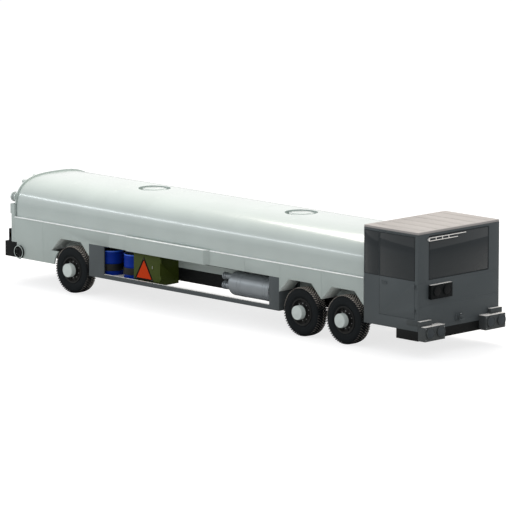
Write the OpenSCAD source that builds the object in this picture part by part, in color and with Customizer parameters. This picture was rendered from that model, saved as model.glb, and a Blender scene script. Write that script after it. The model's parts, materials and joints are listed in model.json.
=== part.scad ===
// Airfield tanker truck: low flat-fronted cab, long rounded tank, three axles on single tyres.
// Millimetres. +X points forwards, +Y to the left, +Z up. The origin is on the ground at the
// middle of the whole vehicle.

/* [Overall] */
// Width over the cab sides and skirts
body_w = 2550; // [2120:5:3060]
// Length of the cab
cab_len = 1600; // [1560:5:1920]
// Height of the cab roof above the ground
cab_top_z = 2725; // [2560:5:3000]
// Length of the tank
tank_len = 11205; // [10400:5:13500]
// Height of the tank's crown above the ground
tank_top_z = 2470; // [2300:5:2600]

/* [Wheels and axles] */
// Tyre radius
tyre_r = 542; // [500:1:552]
// Tyre width
tyre_w = 300; // [250:1:310]
// How far the tyre's outer wall sits inside the body side
tyre_inset = 25; // [5:1:60]
// How far the hub cap stands out past the tyre wall
hub_out = 133; // [60:1:150]
// Radius of the hub cap
hub_r = 156; // [120:1:170]
// Distance of the first axle behind the cab's rear wall
axle_1_gap = 630; // [625:5:650]
// Distance between the two steered axles
axle_gap = 1305; // [1300:5:1400]
// Distance of the rear axle in front of the tank's rear end
rear_overhang = 1900; // [1500:5:2100]
// Distance of the kingpin inside the tyre's middle plane
kingpin_in = 140; // [135:1:150]

/* [Tank] */
// Radius of the tank's crown
crown_r = 3500; // [2600:10:5000]
// Radius of the tank's shoulders
shoulder_r = 555; // [420:5:620]
// Height of the flat underside of the tank
tank_bottom_z = 1250; // [1245:1:1320]
// How far the end ring stands proud of the tank
ring_proud = 35; // [15:1:45]
// Radius of a manhole boss
manhole_r = 260; // [200:5:320]

/* [Skirts] */
// Thickness of a skirt, which is also the width of its top ledge
skirt_t = 45; // [30:1:60]
// Height of the ledge along the top of the skirts
ledge_z = 1555; // [1480:5:1640]
// Height of the skirt's long lower edge and of the arch tops
skirt_low_z = 1230; // [1215:1:1238]
// Height of the skirt's lower edge behind the rear wheels
skirt_rear_z = 610; // [580:5:700]
// Height of the arch's slanting ends
arch_tip_z = 920; // [880:5:960]
// Half the arch width at its slanting ends
arch_half = 645; // [625:1:648]
// Half the arch width at its flat top
arch_top_half = 345; // [320:1:400]
// Depth of the arch lining
liner_depth = 380; // [300:5:400]
// Length of a name board
board_len = 2685; // [2200:5:2900]
// How far a name board stands out from the skirt
board_proud = 110; // [40:1:120]

/* [Side equipment] */
// Height of the side frame's lower edge
frame_low_z = 485; // [460:5:500]
// Height of the side frame's lower rail
frame_rail_h = 100; // [80:1:105]
// Depth of the side frame
frame_t = 40; // [25:1:45]
// Distance of the drums and the side equipment's back from the body side
side_bay = 655; // [650:1:680]
// Radius of a drum
drum_r = 285; // [240:1:290]
// Height of a drum
drum_h = 565; // [480:5:600]
// Length of a side cabinet
cabinet_len = 860; // [700:5:950]
// Radius of a filter vessel
vessel_r = 280; // [220:1:284]
// Length of a filter vessel's barrel
vessel_len = 1265; // [900:5:1350]

/* [Cab] */
// Height of the cab's underside
cab_low_z = 585; // [582:1:600]
// Thickness of the cab walls and doors
wall_t = 50; // [40:1:60]
// Height of the lower edge of the cab glass
glass_low_z = 1665; // [1600:5:1720]
// Depth of the band above the cab glass
glass_top_band = 100; // [80:5:140]
// Half the width of the windscreen
screen_half = 945; // [850:5:950]
// Thickness of the glass
glass_t = 6; // [4:1:8]
// Length of a cab door
door_len = 1040; // [900:5:1050]
// Height of the lower edge of a cab door
door_low_z = 840; // [830:5:900]

/* [Front] */
// Length of a corner lamp box ahead of the cab
box_len = 210; // [150:5:260]
// Width of a corner lamp box
box_w = 635; // [560:5:680]
// Height of a corner lamp box
box_h = 315; // [280:5:320]
// How far a lamp stands out from its box
lamp_out = 40; // [20:1:60]
// Radius of a corner lamp
lamp_r = 120; // [90:1:130]
// Radius of the pin hole in the towing jaw
jaw_pin_r = 25; // [15:0.5:32]

/* [Rear] */
// Depth of the rear cabinet
rear_cab_len = 105; // [100:5:200]
// How far the rear bumper reaches behind the rear cabinet
bumper_out = 220; // [190:5:260]
// How far the hood over the rear doors stands out
hood_out = 35; // [20:1:50]
// Outer radius of a side coupling
coupling_r = 150; // [120:1:170]

/* [Hidden] */
$fn = 64;

eps = 1;                  // overshoot of a cutting shape past the face that it cuts
seam = 0.3;               // space between curved faces of pieces that move apart
pin_fit = 0.06;           // radial clearance of a pin in its bore
door_gap = 7;             // gap around a door or lid
half_w = body_w / 2;

// stations along the vehicle
cab_gap = 15;
overall_len = lamp_out + box_len + cab_len + cab_gap + tank_len + rear_cab_len + bumper_out;
cab_x = overall_len / 2 - lamp_out - box_len;      // front face of the cab
cab_rear_x = cab_x - cab_len;
tank_x1 = cab_rear_x - cab_gap;                    // front end of the tank
tank_x0 = tank_x1 - tank_len;                      // rear end of the tank
back_x = tank_x0 - rear_cab_len;                   // rear face of the rear cabinet
axle_1_x = cab_rear_x - axle_1_gap;
axle_2_x = axle_1_x - axle_gap;
axle_3_x = tank_x0 + rear_overhang;

// wheels
axle_z = tyre_r;
wheel_y = half_w - tyre_inset - tyre_w / 2;        // middle plane of a tyre
kingpin_y = wheel_y - kingpin_in;
hub_face = tyre_w / 2 + hub_out;                   // hub cap face from the tyre's middle plane
bead_r = 288;
spindle_r = 40;
spindle_end = 150;
kingpin_r = 25;
boss_r = 48;
boss_half = 85;
lug_t = 50;
lug_r = 45;
lug_gap = 5;
web_in = 55;
web_out = 80;
disc_in = 55;                                      // inner and outer face of a rim's disc
disc_out = 71;
hub_in = -55;                                      // inner end of a hub

// chassis
rail_outer = half_w - side_bay;                    // outer face of a chassis rail
rail_w = 80;
rail_z0 = 590;
rail_z1 = 890;
rail_low_z = 440;                                  // lower edge of the rails under the cab
rail_drop = 130;                                   // start of the rails' drop, behind the cab
rail_step_x = cab_rear_x - 30;                     // where the rails step down to the cab
web_t = 10;
flange_t = 14;
member_t = 90;
member_n = 6;
member_x0 = back_x + 500;
member_x1 = axle_2_x - 400;
member_x = [for (i = [0:member_n - 1]) member_x0 + i * (member_x1 - member_x0) / (member_n - 1)];
engine_x0 = axle_2_x + 250;                        // rear face of the engine
engine_half = rail_outer - 220;
beam_low = 355;
beam_high = 450;
spring_half = 480;
rear_spring_y = rail_outer + 130;

// tank section
tank_half = half_w - skirt_t;
shoulder_y = tank_half - shoulder_r;
shoulder_z = tank_top_z - crown_r
    + sqrt(pow(crown_r - shoulder_r, 2) - pow(shoulder_y, 2));
crown_a = asin(shoulder_y / (crown_r - shoulder_r));
ring_len = 25;
manhole_x = [tank_x1 - 3140, tank_x0 + 3360];
well_r = manhole_r + 110;                          // round well that a manhole stands in
well_z = tank_top_z - 70;                          // floor of the well
lid_z = tank_top_z - 45;
lid_t = 24;
lid_hinge_in = 45;                                 // hinge pin from the edge of the boss
lid_hinge_z = lid_z + 6;
bumper_notch = 75;
liner_t = 10;

// side frames and what they carry
frame_in = 20;                                     // rear post's lap over the rear arch
frame_x0 = axle_3_x + arch_half - frame_in;
frame_x1 = axle_2_x - arch_half;
post_rear_w = 495;
post_front_w = 310;
tray_t = 20;
tray_top_z = frame_low_z + 65;
drum_y = rail_outer + 5 + drum_r;
drum_x0 = frame_x0 + 380;
drum_pitch = 2 * drum_r + 230;
board_x0 = frame_x0 + 1240;
cabinet_x0 = frame_x0 + 1405;                      // rear edge of a cabinet's face and door
carcass_x0 = drum_x0 + drum_pitch + drum_r + 15;   // the box behind the face starts past the drums
cabinet_z0 = frame_low_z + 45;
cabinet_z1 = skirt_low_z - 30;
cabinet_y = half_w - frame_t - 65;                 // face of the side cabinet's carcass
cabinet_t = 30;
cabinet_low = frame_low_z + frame_rail_h + 12;     // lower edge of a side cabinet's door
cabinet_hinge_z = [cabinet_low + 110, cabinet_z1 - 110];
vessel_x1 = frame_x1 - post_front_w - 95;
vessel_x0 = vessel_x1 - vessel_len;
vessel_y = rail_outer + 15 + vessel_r;
vessel_z = 850;
vessel_head_len = 70;
vessel_pipe_len = 395;
vessel_pipes = [[120, 85], [-90, 95]];             // height above the vessel's axis and radius of each

// cab
glass_top_z = cab_top_z - glass_top_band;
door_x1 = cab_x - 100;
door_x0 = door_x1 - door_len;
door_top_z = cab_top_z - 85;
seal = 40;                                         // overlap of bonded glass on its frame
quarter_x1 = door_x0 - door_gap;
door_hinge_z = [door_low_z + 180, glass_low_z - 120];
floor_z = cab_low_z + 60;
seat_w = 520;
seat_x0 = cab_rear_x + wall_t + 60;
seat_z = floor_z + 430;
dash_z = glass_low_z - 215;
driver_y = 620;
column_tilt = 50;
column_x = cab_x - 360;
column_z = dash_z - 80;
column_r = 30;
shaft_r = 15;
column_len = 150;
steer_r = 220;

// front
box_z0 = 385;
box_z1 = box_z0 + box_h;
step_h = 115;
step_out = 90;
step_back = 316;
step_w = 345;
pod_y0 = 285;
pod_w = 670;
pod_h = 315;
pod_t = 90;
pod_z0 = glass_low_z - 415;
under_z0 = 375;
under_len = 640;
jaw_z = 750;
jaw_y = 0;

// rear
rear_cab_z0 = 965;
rear_cab_z1 = 1850;
rear_door_t = 30;
rear_wall = 30;
rear_door_out = half_w - 155;
rear_door_in = 250;
rear_door_z0 = rear_cab_z0 + 60;
hood_z = rear_cab_z1 - 230;                        // lower edge of the hood over the doors
rear_door_z1 = hood_z - 25;
rear_hinge_z = [rear_door_z0 + 120, rear_door_z1 - 120];
post_t = 75;
post_len = 95;
post_h = 300;
work_lamp_r = 115;                                 // the large lamp on the tank's rear end
work_lamp_len = 145;
work_lamp_y = half_w - 5 - work_lamp_r;
work_lamp_z = shoulder_z + 166;
ring_lamp_r = 45;
ring_lamp_len = 90;
ring_lamp_a = 64.5;                                // angle of the small lamp on the tank's shoulder
crown_lamp_y = 580;                                // place of the lamp on the tank's crown
ring_lamps = [
    [shoulder_y + shoulder_r * cos(ring_lamp_a), shoulder_z + shoulder_r * sin(ring_lamp_a)],
    [crown_lamp_y, tank_top_z - crown_r + sqrt(pow(crown_r, 2) - pow(crown_lamp_y, 2))]
];
rung_n = 6;
bumper_z0 = 610;
bumper_z1 = 960;
bumper_t = 75;
coupling_x = tank_x0 + 175;
coupling_z = 755;
coupling_t = 50;

// hinges
hinge_pin_r = 8;
hinge_r = 14;
hinge_barrel = 60;
hinge_lug = 24;
hinge_leaf = 60;
hinge_leaf_t = 6;
hinge_off = hinge_r;

// ---------------------------------------------------------------- helpers

module block(x0, x1, y0, y1, z0, z1) {
    translate([x0, y0, z0]) cube([x1 - x0, y1 - y0, z1 - z0]);
}

// the child and its mirror image on the other side of the vehicle
module both_sides() {
    children();
    mirror([0, 1, 0]) children();
}

// the child on the side s: 1 left, -1 right; it is drawn for the left side
module on_side(s) {
    if (s > 0) children();
    else mirror([0, 1, 0]) children();
}

// an outline in X and Z, extruded from y0 to y1
module side_sheet(points, y0, y1) {
    translate([0, y1, 0]) rotate([90, 0, 0]) linear_extrude(y1 - y0) polygon(points);
}

// an outline in Y and Z, extruded from x0 to x1
module cross_sheet(points, x0, x1) {
    translate([x0, 0, 0]) rotate([90, 0, 90]) linear_extrude(x1 - x0) polygon(points);
}

// a cylinder along X, from x0 to x1
module rod_x(x0, x1, y, z, r) {
    translate([x0, y, z]) rotate([0, 90, 0]) cylinder(h = x1 - x0, r = r);
}

// a cylinder along Y, from y0 to y1
module rod_y(y0, y1, x, z, r) {
    translate([x, y0, z]) rotate([-90, 0, 0]) cylinder(h = y1 - y0, r = r);
}

// The two halves of a hinge. Its axis is Z. The panels lie at y < -hinge_off; the moving leaf
// reaches towards -X and the fixed one towards +X.
module hinge_moving() {
    translate([0, 0, -hinge_barrel / 2]) cylinder(h = hinge_barrel, r = hinge_r, $fn = 32);
    translate([0, 0, -hinge_barrel / 2 - hinge_lug])
        cylinder(h = hinge_barrel + 2 * hinge_lug, r = hinge_pin_r, $fn = 32);
    block(-hinge_leaf, 0, -hinge_off, -hinge_off + hinge_leaf_t, -hinge_barrel / 2, hinge_barrel / 2);
}

module hinge_fixed() {
    for (s = [-1, 1])
        translate([0, 0, s * (hinge_barrel + hinge_lug) / 2 + s * seam / 2])
            difference() {
                union() {
                    cylinder(h = hinge_lug - seam, r = hinge_r, center = true, $fn = 32);
                    translate([0, -hinge_off, -(hinge_lug - seam) / 2])
                        cube([hinge_leaf, hinge_leaf_t, hinge_lug - seam]);
                }
                cylinder(h = 2 * hinge_lug, r = hinge_pin_r + pin_fit, center = true, $fn = 32);
            }
}

// ---------------------------------------------------------------- chassis

rail_side = [
    [back_x, rail_z0], [axle_3_x - 300, rail_z0], [axle_3_x - 160, rail_z0 + 60],
    [axle_3_x + 160, rail_z0 + 60], [axle_3_x + 300, rail_z0],
    [cab_rear_x - rail_drop, rail_z0], [rail_step_x, rail_low_z], [cab_x - 30, rail_low_z],
    [cab_x - 30, cab_low_z], [cab_rear_x - 5, cab_low_z], [rail_step_x, rail_z1],
    [back_x, rail_z1]
];

module chassis_frame() {
    color("#17191a") {
        both_sides() {
            side_sheet(rail_side, rail_outer - web_t, rail_outer);
            block(back_x, rail_step_x, rail_outer - rail_w, rail_outer, rail_z1 - flange_t, rail_z1);
            block(axle_3_x + 300, cab_rear_x - rail_drop, rail_outer - rail_w, rail_outer,
                rail_z0, rail_z0 + flange_t);
            block(rail_step_x, cab_x - 30, rail_outer - rail_w, rail_outer,
                rail_low_z, rail_low_z + flange_t);
        }
        for (x = member_x) block(x, x + member_t, -rail_outer, rail_outer, rail_z1 - 110, rail_z1 - 10);
        block(cab_x - 1000, cab_x - 900, -rail_outer, rail_outer, rail_low_z, rail_low_z + 90);
        block(back_x, back_x + 20, -rail_outer, rail_outer, rail_z0, rail_z1);
    }
}

module front_underframe() {
    color("#141617") difference() {
        block(cab_x - under_len, cab_x, -half_w + 5, half_w - 5, under_z0, cab_low_z);
        block(cab_x - under_len - eps, cab_x - 30, -half_w + 35, half_w - 35, under_z0 - eps,
            cab_low_z - 30);
        both_sides() block(cab_x - under_len - eps, cab_x - 29, rail_outer - rail_w - 1,
            rail_outer + 1, rail_low_z - 1, cab_low_z + eps);
    }
}

// Towing jaw: a plate on the cab front with two lugs and a free vertical pin hole.
module towing_jaw() {
    color("#50565a") difference() {
        union() {
            block(cab_x, cab_x + 16, jaw_y - 110, jaw_y + 110, jaw_z - 80, jaw_z + 80);
            for (z = [jaw_z - 60, jaw_z + 30])
                block(cab_x + 16, cab_x + 110, jaw_y - 70, jaw_y + 70, z, z + 30);
        }
        translate([cab_x + 70, jaw_y, jaw_z - 100]) cylinder(h = 200, r = jaw_pin_r);
    }
}

module engine_block() {
    color("#3c4043") block(engine_x0, axle_1_x + 250, -engine_half, engine_half, rail_z0 + 40, tank_bottom_z - 60);
}

// ---------------------------------------------------------------- cab

module glass_opening_front(grow, x0, x1) {
    block(x0, x1, -screen_half + grow, screen_half - grow, glass_low_z + grow, glass_top_z - grow);
}

module cab_shell() {
    color("#494e50") {
        difference() {
            block(cab_rear_x, cab_x, -half_w, half_w, cab_low_z, cab_top_z - wall_t);
            block(cab_rear_x + wall_t, cab_x - wall_t, -half_w + wall_t, half_w - wall_t,
                floor_z, cab_top_z);
            glass_opening_front(seal, cab_x - 2 * wall_t, cab_x + eps);
            glass_opening_front(0, cab_x - glass_t, cab_x + eps);
            both_sides() {
                block(door_x0 - door_gap, door_x1 + door_gap, half_w - 2 * wall_t, half_w + eps,
                    door_low_z - door_gap, door_top_z + door_gap);
                block(cab_rear_x + wall_t + seal, quarter_x1 - wall_t - seal,
                    half_w - 2 * wall_t, half_w + eps, glass_low_z + seal, glass_top_z - seal);
                block(cab_rear_x + 10, quarter_x1 - 10, half_w - glass_t, half_w + eps,
                    glass_low_z, glass_top_z);
            }
        }
        for (s = [-1, 1]) on_side(s) for (z = door_hinge_z)
            translate([door_x1 + door_gap / 2, half_w + hinge_off, z]) hinge_fixed();
    }
}

module cab_roof() {
    color("#d0cbc6") difference() {
        block(cab_rear_x, cab_x, -half_w, half_w, cab_top_z - wall_t, cab_top_z);
        block(cab_rear_x + wall_t, cab_x - wall_t, -half_w + wall_t, half_w - wall_t,
            cab_top_z - wall_t - eps, cab_top_z - 15);
    }
}

module cab_glass() {
    color("#353a3b") {
        glass_opening_front(0, cab_x - glass_t, cab_x);
        both_sides() block(cab_rear_x + 10, quarter_x1 - 10, half_w - glass_t, half_w,
            glass_low_z, glass_top_z);
    }
}

// a cab door, drawn for the left side
module door_panel() {
    color("#494e50") {
        difference() {
            block(door_x0, door_x1, half_w - wall_t, half_w, door_low_z, door_top_z);
            block(door_x0 + wall_t + seal, door_x1 - wall_t - seal, half_w - 2 * wall_t, half_w + eps,
                glass_low_z + seal, glass_top_z - seal);
            block(door_x0 - eps, door_x1 + eps, half_w - glass_t, half_w + eps,
                glass_low_z, glass_top_z);
        }
        for (z = door_hinge_z)
            translate([door_x1 + door_gap / 2, half_w + hinge_off, z]) hinge_moving();
    }
}

module door_pane() {
    color("#353a3b") block(door_x0, door_x1, half_w - glass_t, half_w, glass_low_z, glass_top_z);
}

module door_right() { on_side(-1) door_panel(); }
module door_left() { on_side(1) door_panel(); }
module door_glass_right() { on_side(-1) door_pane(); }
module door_glass_left() { on_side(1) door_pane(); }

module seats() {
    color("#2b2d30") both_sides() translate([0, driver_y - seat_w / 2, 0]) {
        block(seat_x0 + 80, seat_x0 + 480, 60, seat_w - 60, floor_z, seat_z - 120);
        block(seat_x0, seat_x0 + 540, 0, seat_w, seat_z - 120, seat_z);
        block(seat_x0, seat_x0 + 120, 20, seat_w - 20, seat_z, seat_z + 560);
        block(seat_x0 + 15, seat_x0 + 105, 120, seat_w - 120, seat_z + 560, seat_z + 760);
    }
}

// The column points back and up towards the driver.
module on_column() {
    translate([column_x, driver_y, column_z]) rotate([0, -column_tilt, 0]) children();
}

module dashboard() {
    color("#26292b") difference() {
        union() {
            block(cab_x - 350, cab_x - wall_t, -half_w + wall_t + 20, half_w - wall_t - 20,
                dash_z - 400, dash_z);
            on_column() translate([0, 0, -60]) cylinder(h = column_len + 60, r = column_r);
        }
        on_column() translate([0, 0, 20]) cylinder(h = column_len, r = shaft_r + pin_fit);
    }
}

module steering_wheel() {
    color("#1c1e20") on_column() {
        translate([0, 0, 40]) cylinder(h = column_len + 30, r = shaft_r);
        translate([0, 0, column_len + seam + 10]) cylinder(h = 40, r = 50);
        translate([0, 0, column_len + 40]) rotate_extrude() translate([steer_r, 0]) circle(r = 14, $fn = 24);
        for (a = [90, 210, 330]) rotate([0, 0, a])
            translate([30, -12, column_len + 34]) cube([steer_r - 30, 24, 10]);
    }
}

// ---------------------------------------------------------------- front

module corner_lamp_boxes() {
    color("#454a4d") both_sides() {
        block(cab_x, cab_x + box_len, half_w - box_w, half_w, box_z0, box_z1);
        block(cab_x, cab_x + step_out, half_w - step_w, half_w + 15, box_z1, box_z1 + step_h);
        block(cab_x - step_back, cab_x + 1, half_w, half_w + 15, box_z1 + 5, box_z1 + step_h);
        for (y = [half_w - box_w / 2 - 165, half_w - box_w / 2 + 165])
            rod_x(cab_x + box_len - 1, cab_x + box_len + lamp_out, y, box_z0 + box_h / 2 + 22, lamp_r);
    }
}

module front_lamp_pod() {
    color("#141617") {
        block(cab_x, cab_x + pod_t, -pod_y0 - pod_w, -pod_y0, pod_z0, pod_z0 + pod_h);
        for (y = [-pod_y0 - pod_w / 2 - 155, -pod_y0 - pod_w / 2 + 155])
            rod_x(cab_x + pod_t - 1, cab_x + pod_t + 25, y, pod_z0 + pod_h / 2 + 10, 115);
    }
}

// The wiper is parked along the top of the windscreen: an arm, a stay and a blade.
module wiper() {
    color("#c9cdcf") {
        rod_x(cab_x, cab_x + 40, -screen_half - 25, glass_top_z - 80, 18);
        block(cab_x + 22, cab_x + 34, -screen_half - 25, screen_half - 760, glass_top_z - 50,
            glass_top_z - 36);
        block(cab_x + 22, cab_x + 34, -screen_half - 25, -70, glass_top_z - 114, glass_top_z - 100);
        block(cab_x + 22, cab_x + 34, -screen_half - 34, -screen_half - 16, glass_top_z - 114,
            glass_top_z - 36);
    }
}

// ---------------------------------------------------------------- tank

function arc_points(y, z, r, a0, a1, n) =
    [for (i = [0:n]) [y + r * cos(a0 + (a1 - a0) * i / n), z + r * sin(a0 + (a1 - a0) * i / n)]];

// the tank's section, grown outwards by g: two upright sides, two shoulders and a crown
function tank_section(g, low_z) = concat(
    [[tank_half + g, low_z]],
    arc_points(shoulder_y, shoulder_z, shoulder_r + g, 0, 90 - crown_a, 12),
    arc_points(0, tank_top_z - crown_r, crown_r + g, 90 - crown_a, 90 + crown_a, 10),
    arc_points(-shoulder_y, shoulder_z, shoulder_r + g, 90 + crown_a, 180, 12),
    [[-tank_half - g, low_z]]
);

module tank() {
    color("#9da7a3") {
        difference() {
            cross_sheet(tank_section(0, tank_bottom_z), tank_x0, tank_x1);
            for (x = manhole_x) translate([x, 0, well_z]) cylinder(h = tank_top_z, r = well_r);
        }
        difference() {
            cross_sheet(tank_section(ring_proud, tank_bottom_z), tank_x0, tank_x0 + ring_len);
            block(tank_x0 - eps, tank_x0 + ring_len + eps, -half_w, half_w, 0, rear_cab_z1 + 2);
        }
        for (x = manhole_x) {
            translate([x, 0, well_z - eps]) cylinder(h = lid_z - well_z + eps, r = manhole_r);
            translate([x - manhole_r - lid_hinge_in, 0, lid_hinge_z]) for (s = [-1, 1])
                difference() {
                    block(-20, 20, s * 62 - 14, s * 62 + 14, well_z - lid_hinge_z - eps, 18);
                    rod_y(s * 62 - 20, s * 62 + 20, 0, 0, hinge_pin_r + pin_fit, $fn = 32);
                }
        }
    }
}

// a manhole lid at the station x
module manhole_lid(x) {
    color("#a8b0ad") {
        hinge_x = x - manhole_r - lid_hinge_in;
        translate([x, 0, lid_z + seam]) cylinder(h = lid_t, r = manhole_r + 15);
        translate([x, 0, lid_z + lid_t]) cylinder(h = 12, r = manhole_r - 40);
        block(hinge_x, x - manhole_r + 30, -46, 46, lid_z + seam, lid_z + 16);
        rod_y(-46, 46, hinge_x, lid_hinge_z, 14);
        rod_y(-74, 74, hinge_x, lid_hinge_z, hinge_pin_r, $fn = 32);
    }
}

module manhole_lid_front() { manhole_lid(manhole_x[0]); }
module manhole_lid_rear() { manhole_lid(manhole_x[1]); }

module tank_bearers() {
    color("#939d99") {
        both_sides() block(tank_x0, tank_x1 - 60, rail_outer - 40, rail_outer, rail_z1, tank_bottom_z);
        for (x = member_x) block(x, x + 60, -rail_outer, rail_outer, rail_z1 + 100, tank_bottom_z);
    }
}

// ---------------------------------------------------------------- skirts

function arch_front_half(x) = [[x + arch_top_half, skirt_low_z], [x + arch_half, arch_tip_z]];
function arch_rear_half(x) = [[x - arch_half, arch_tip_z], [x - arch_top_half, skirt_low_z]];

// height of the first arch's front slant where the skirt ends, behind the cab
skirt_end_z = skirt_low_z - (tank_x1 - axle_1_x - arch_top_half)
    * (skirt_low_z - arch_tip_z) / (arch_half - arch_top_half);

// height of the rear arch's front slant where the side frame's post starts
frame_end_z = arch_tip_z + frame_in * (skirt_low_z - arch_tip_z) / (arch_half - arch_top_half);

// the skirt behind the rear wheel keeps this distance from the tyre
skirt_clear = 18;
function wheel_edge(z) = [axle_3_x - sqrt(pow(tyre_r + skirt_clear, 2) - pow(z - axle_z, 2)), z];

skirt_outline = concat(
    [[tank_x0, ledge_z], [tank_x0, rear_cab_z0], [tank_x0 + bumper_notch, rear_cab_z0],
        [tank_x0 + bumper_notch, skirt_rear_z]],
    [for (i = [0:6]) wheel_edge(skirt_rear_z + i * (arch_tip_z - skirt_rear_z) / 6)],
    arch_rear_half(axle_3_x), [[axle_3_x + arch_top_half, skirt_low_z], [frame_x0, frame_end_z]],
    [[frame_x0, skirt_low_z], [frame_x1, skirt_low_z]],
    arch_rear_half(axle_2_x), arch_front_half(axle_2_x),
    arch_rear_half(axle_1_x), [[axle_1_x + arch_top_half, skirt_low_z]],
    [[tank_x1, skirt_end_z], [tank_x1, ledge_z]]
);

// the folded lining over the wheel at station x, thickened outwards from the wheel
function liner_outline(x) = [
    [x - arch_half, arch_tip_z], [x - arch_top_half, skirt_low_z],
    [x + arch_top_half, skirt_low_z], [x + arch_half, arch_tip_z],
    [x + arch_half, arch_tip_z + liner_t * 1.4], [x + arch_top_half + 4, skirt_low_z + liner_t],
    [x - arch_top_half - 4, skirt_low_z + liner_t], [x - arch_half, arch_tip_z + liner_t * 1.4]
];

module skirts() {
    color("#9da7a3") both_sides() {
        side_sheet(skirt_outline, tank_half, half_w);
        intersection() {
            for (x = [axle_1_x, axle_2_x, axle_3_x])
                side_sheet(liner_outline(x), tank_half - liner_depth, tank_half + 1);
            union() {
                block(tank_x0, frame_x0, 0, half_w, 0, ledge_z);
                block(frame_x1, tank_x1, 0, half_w, 0, ledge_z);
            }
        }
    }
}

module name_boards() {
    color("#9da7a3") both_sides()
        block(board_x0, board_x0 + board_len, half_w, half_w + board_proud, skirt_low_z + 10, ledge_z + 15);
}

// ---------------------------------------------------------------- side equipment

// a post, a long low rail and a post, with the tray for the drums; the front wall reaches
// behind the second wheel
module side_frames() {
    color("#494e50") both_sides() {
        difference() {
            block(frame_x0, frame_x1, half_w - frame_t, half_w, frame_low_z, skirt_low_z);
            block(frame_x0 + post_rear_w, frame_x1 - post_front_w, half_w - 2 * frame_t, half_w + eps,
                frame_low_z + frame_rail_h, skirt_low_z + eps);
        }
        block(frame_x0 + 10, carcass_x0 - 5, rail_outer, half_w - frame_t + 1,
            tray_top_z - tray_t, tray_top_z);
        block(frame_x0, frame_x0 + 20, rail_outer, half_w - frame_t + 1, tray_top_z, skirt_low_z);
        block(frame_x1 - 20, frame_x1, rail_outer, half_w - frame_t + 1, frame_low_z, skirt_low_z);
    }
}

module drums() {
    color("#0a2a8c") both_sides() for (i = [0, 1])
        translate([drum_x0 + i * drum_pitch, drum_y, tray_top_z])
            rotate_extrude() polygon([
                [0, 0], [drum_r, 0], [drum_r, 18], [drum_r - 8, 26],
                [drum_r - 8, drum_h - 26], [drum_r, drum_h - 18], [drum_r, drum_h],
                [drum_r - 14, drum_h], [drum_r - 14, drum_h - 16], [0, drum_h - 16]
            ]);
}

// hollow, open towards the side of the vehicle
module side_cabinets() {
    color("#2a3012") both_sides() {
        difference() {
            union() {
                block(carcass_x0, cabinet_x0 + cabinet_len, rail_outer, cabinet_y, cabinet_z0, cabinet_z1);
                block(cabinet_x0, carcass_x0 + eps, cabinet_y - cabinet_t, cabinet_y,
                    tray_top_z + 5, cabinet_z1);
            }
            block(carcass_x0 + cabinet_t, cabinet_x0 + cabinet_len - cabinet_t, rail_outer + cabinet_t,
                cabinet_y + eps, cabinet_low + cabinet_t, cabinet_z1 - cabinet_t);
        }
        for (z = cabinet_hinge_z)
            translate([cabinet_x0 + cabinet_len + hinge_r, cabinet_y + cabinet_t - hinge_off, z])
                side_lug();
    }
}

// the fixed half of a side cabinet's hinge: two lugs on an arm that reaches the carcass
module side_lug() {
    for (s = [-1, 1])
        translate([0, 0, s * (hinge_barrel + hinge_lug) / 2 + s * seam / 2])
            difference() {
                union() {
                    cylinder(h = hinge_lug - seam, r = hinge_r, center = true, $fn = 32);
                    translate([-hinge_r, -cabinet_t - hinge_r, -(hinge_lug - seam) / 2])
                        cube([hinge_r + 6, cabinet_t + hinge_r, hinge_lug - seam]);
                }
                cylinder(h = 2 * hinge_lug, r = hinge_pin_r + pin_fit, center = true, $fn = 32);
                // room for the door's edge, which stays clear of the arm
                translate([-hinge_r - eps, -cabinet_t + hinge_off - 1, -hinge_lug])
                    cube([hinge_r - hinge_pin_r - 2, cabinet_t, 2 * hinge_lug]);
            }
}

module cabinet_door() {
    color("#2a3012") {
        block(cabinet_x0, cabinet_x0 + cabinet_len - 6, cabinet_y + 1, cabinet_y + cabinet_t,
            cabinet_low, cabinet_z1);
        for (z = cabinet_hinge_z)
            translate([cabinet_x0 + cabinet_len + hinge_r, cabinet_y + cabinet_t - hinge_off, z]) {
                translate([0, 0, -hinge_barrel / 2]) cylinder(h = hinge_barrel, r = hinge_r, $fn = 32);
                translate([0, 0, -hinge_barrel / 2 - hinge_lug])
                    cylinder(h = hinge_barrel + 2 * hinge_lug, r = hinge_pin_r, $fn = 32);
                block(-hinge_r - 40, 0, 2, hinge_off, -hinge_barrel / 2, hinge_barrel / 2);
            }
    }
}

module cabinet_door_right() { on_side(-1) cabinet_door(); }
module cabinet_door_left() { on_side(1) cabinet_door(); }

// A lying pressure vessel with a dished rear end and two flanged pipes, on two brackets.
module filter_vessels() {
    color("#8b9096") both_sides() {
        rod_x(vessel_x0, vessel_x1, vessel_y, vessel_z, vessel_r);
        translate([vessel_x0, vessel_y, vessel_z]) rotate([0, -90, 0])
            cylinder(h = vessel_head_len, r1 = vessel_r, r2 = vessel_r - 90);
        for (p = vessel_pipes)
            rod_x(vessel_x0 - vessel_pipe_len, vessel_x0, vessel_y, vessel_z + p[0], p[1]);
        for (x = [vessel_x0 + 250, vessel_x1 - 250])
            block(x, x + 60, rail_outer, vessel_y, vessel_z - 40, vessel_z + 30);
    }
}

// ---------------------------------------------------------------- rear

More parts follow.
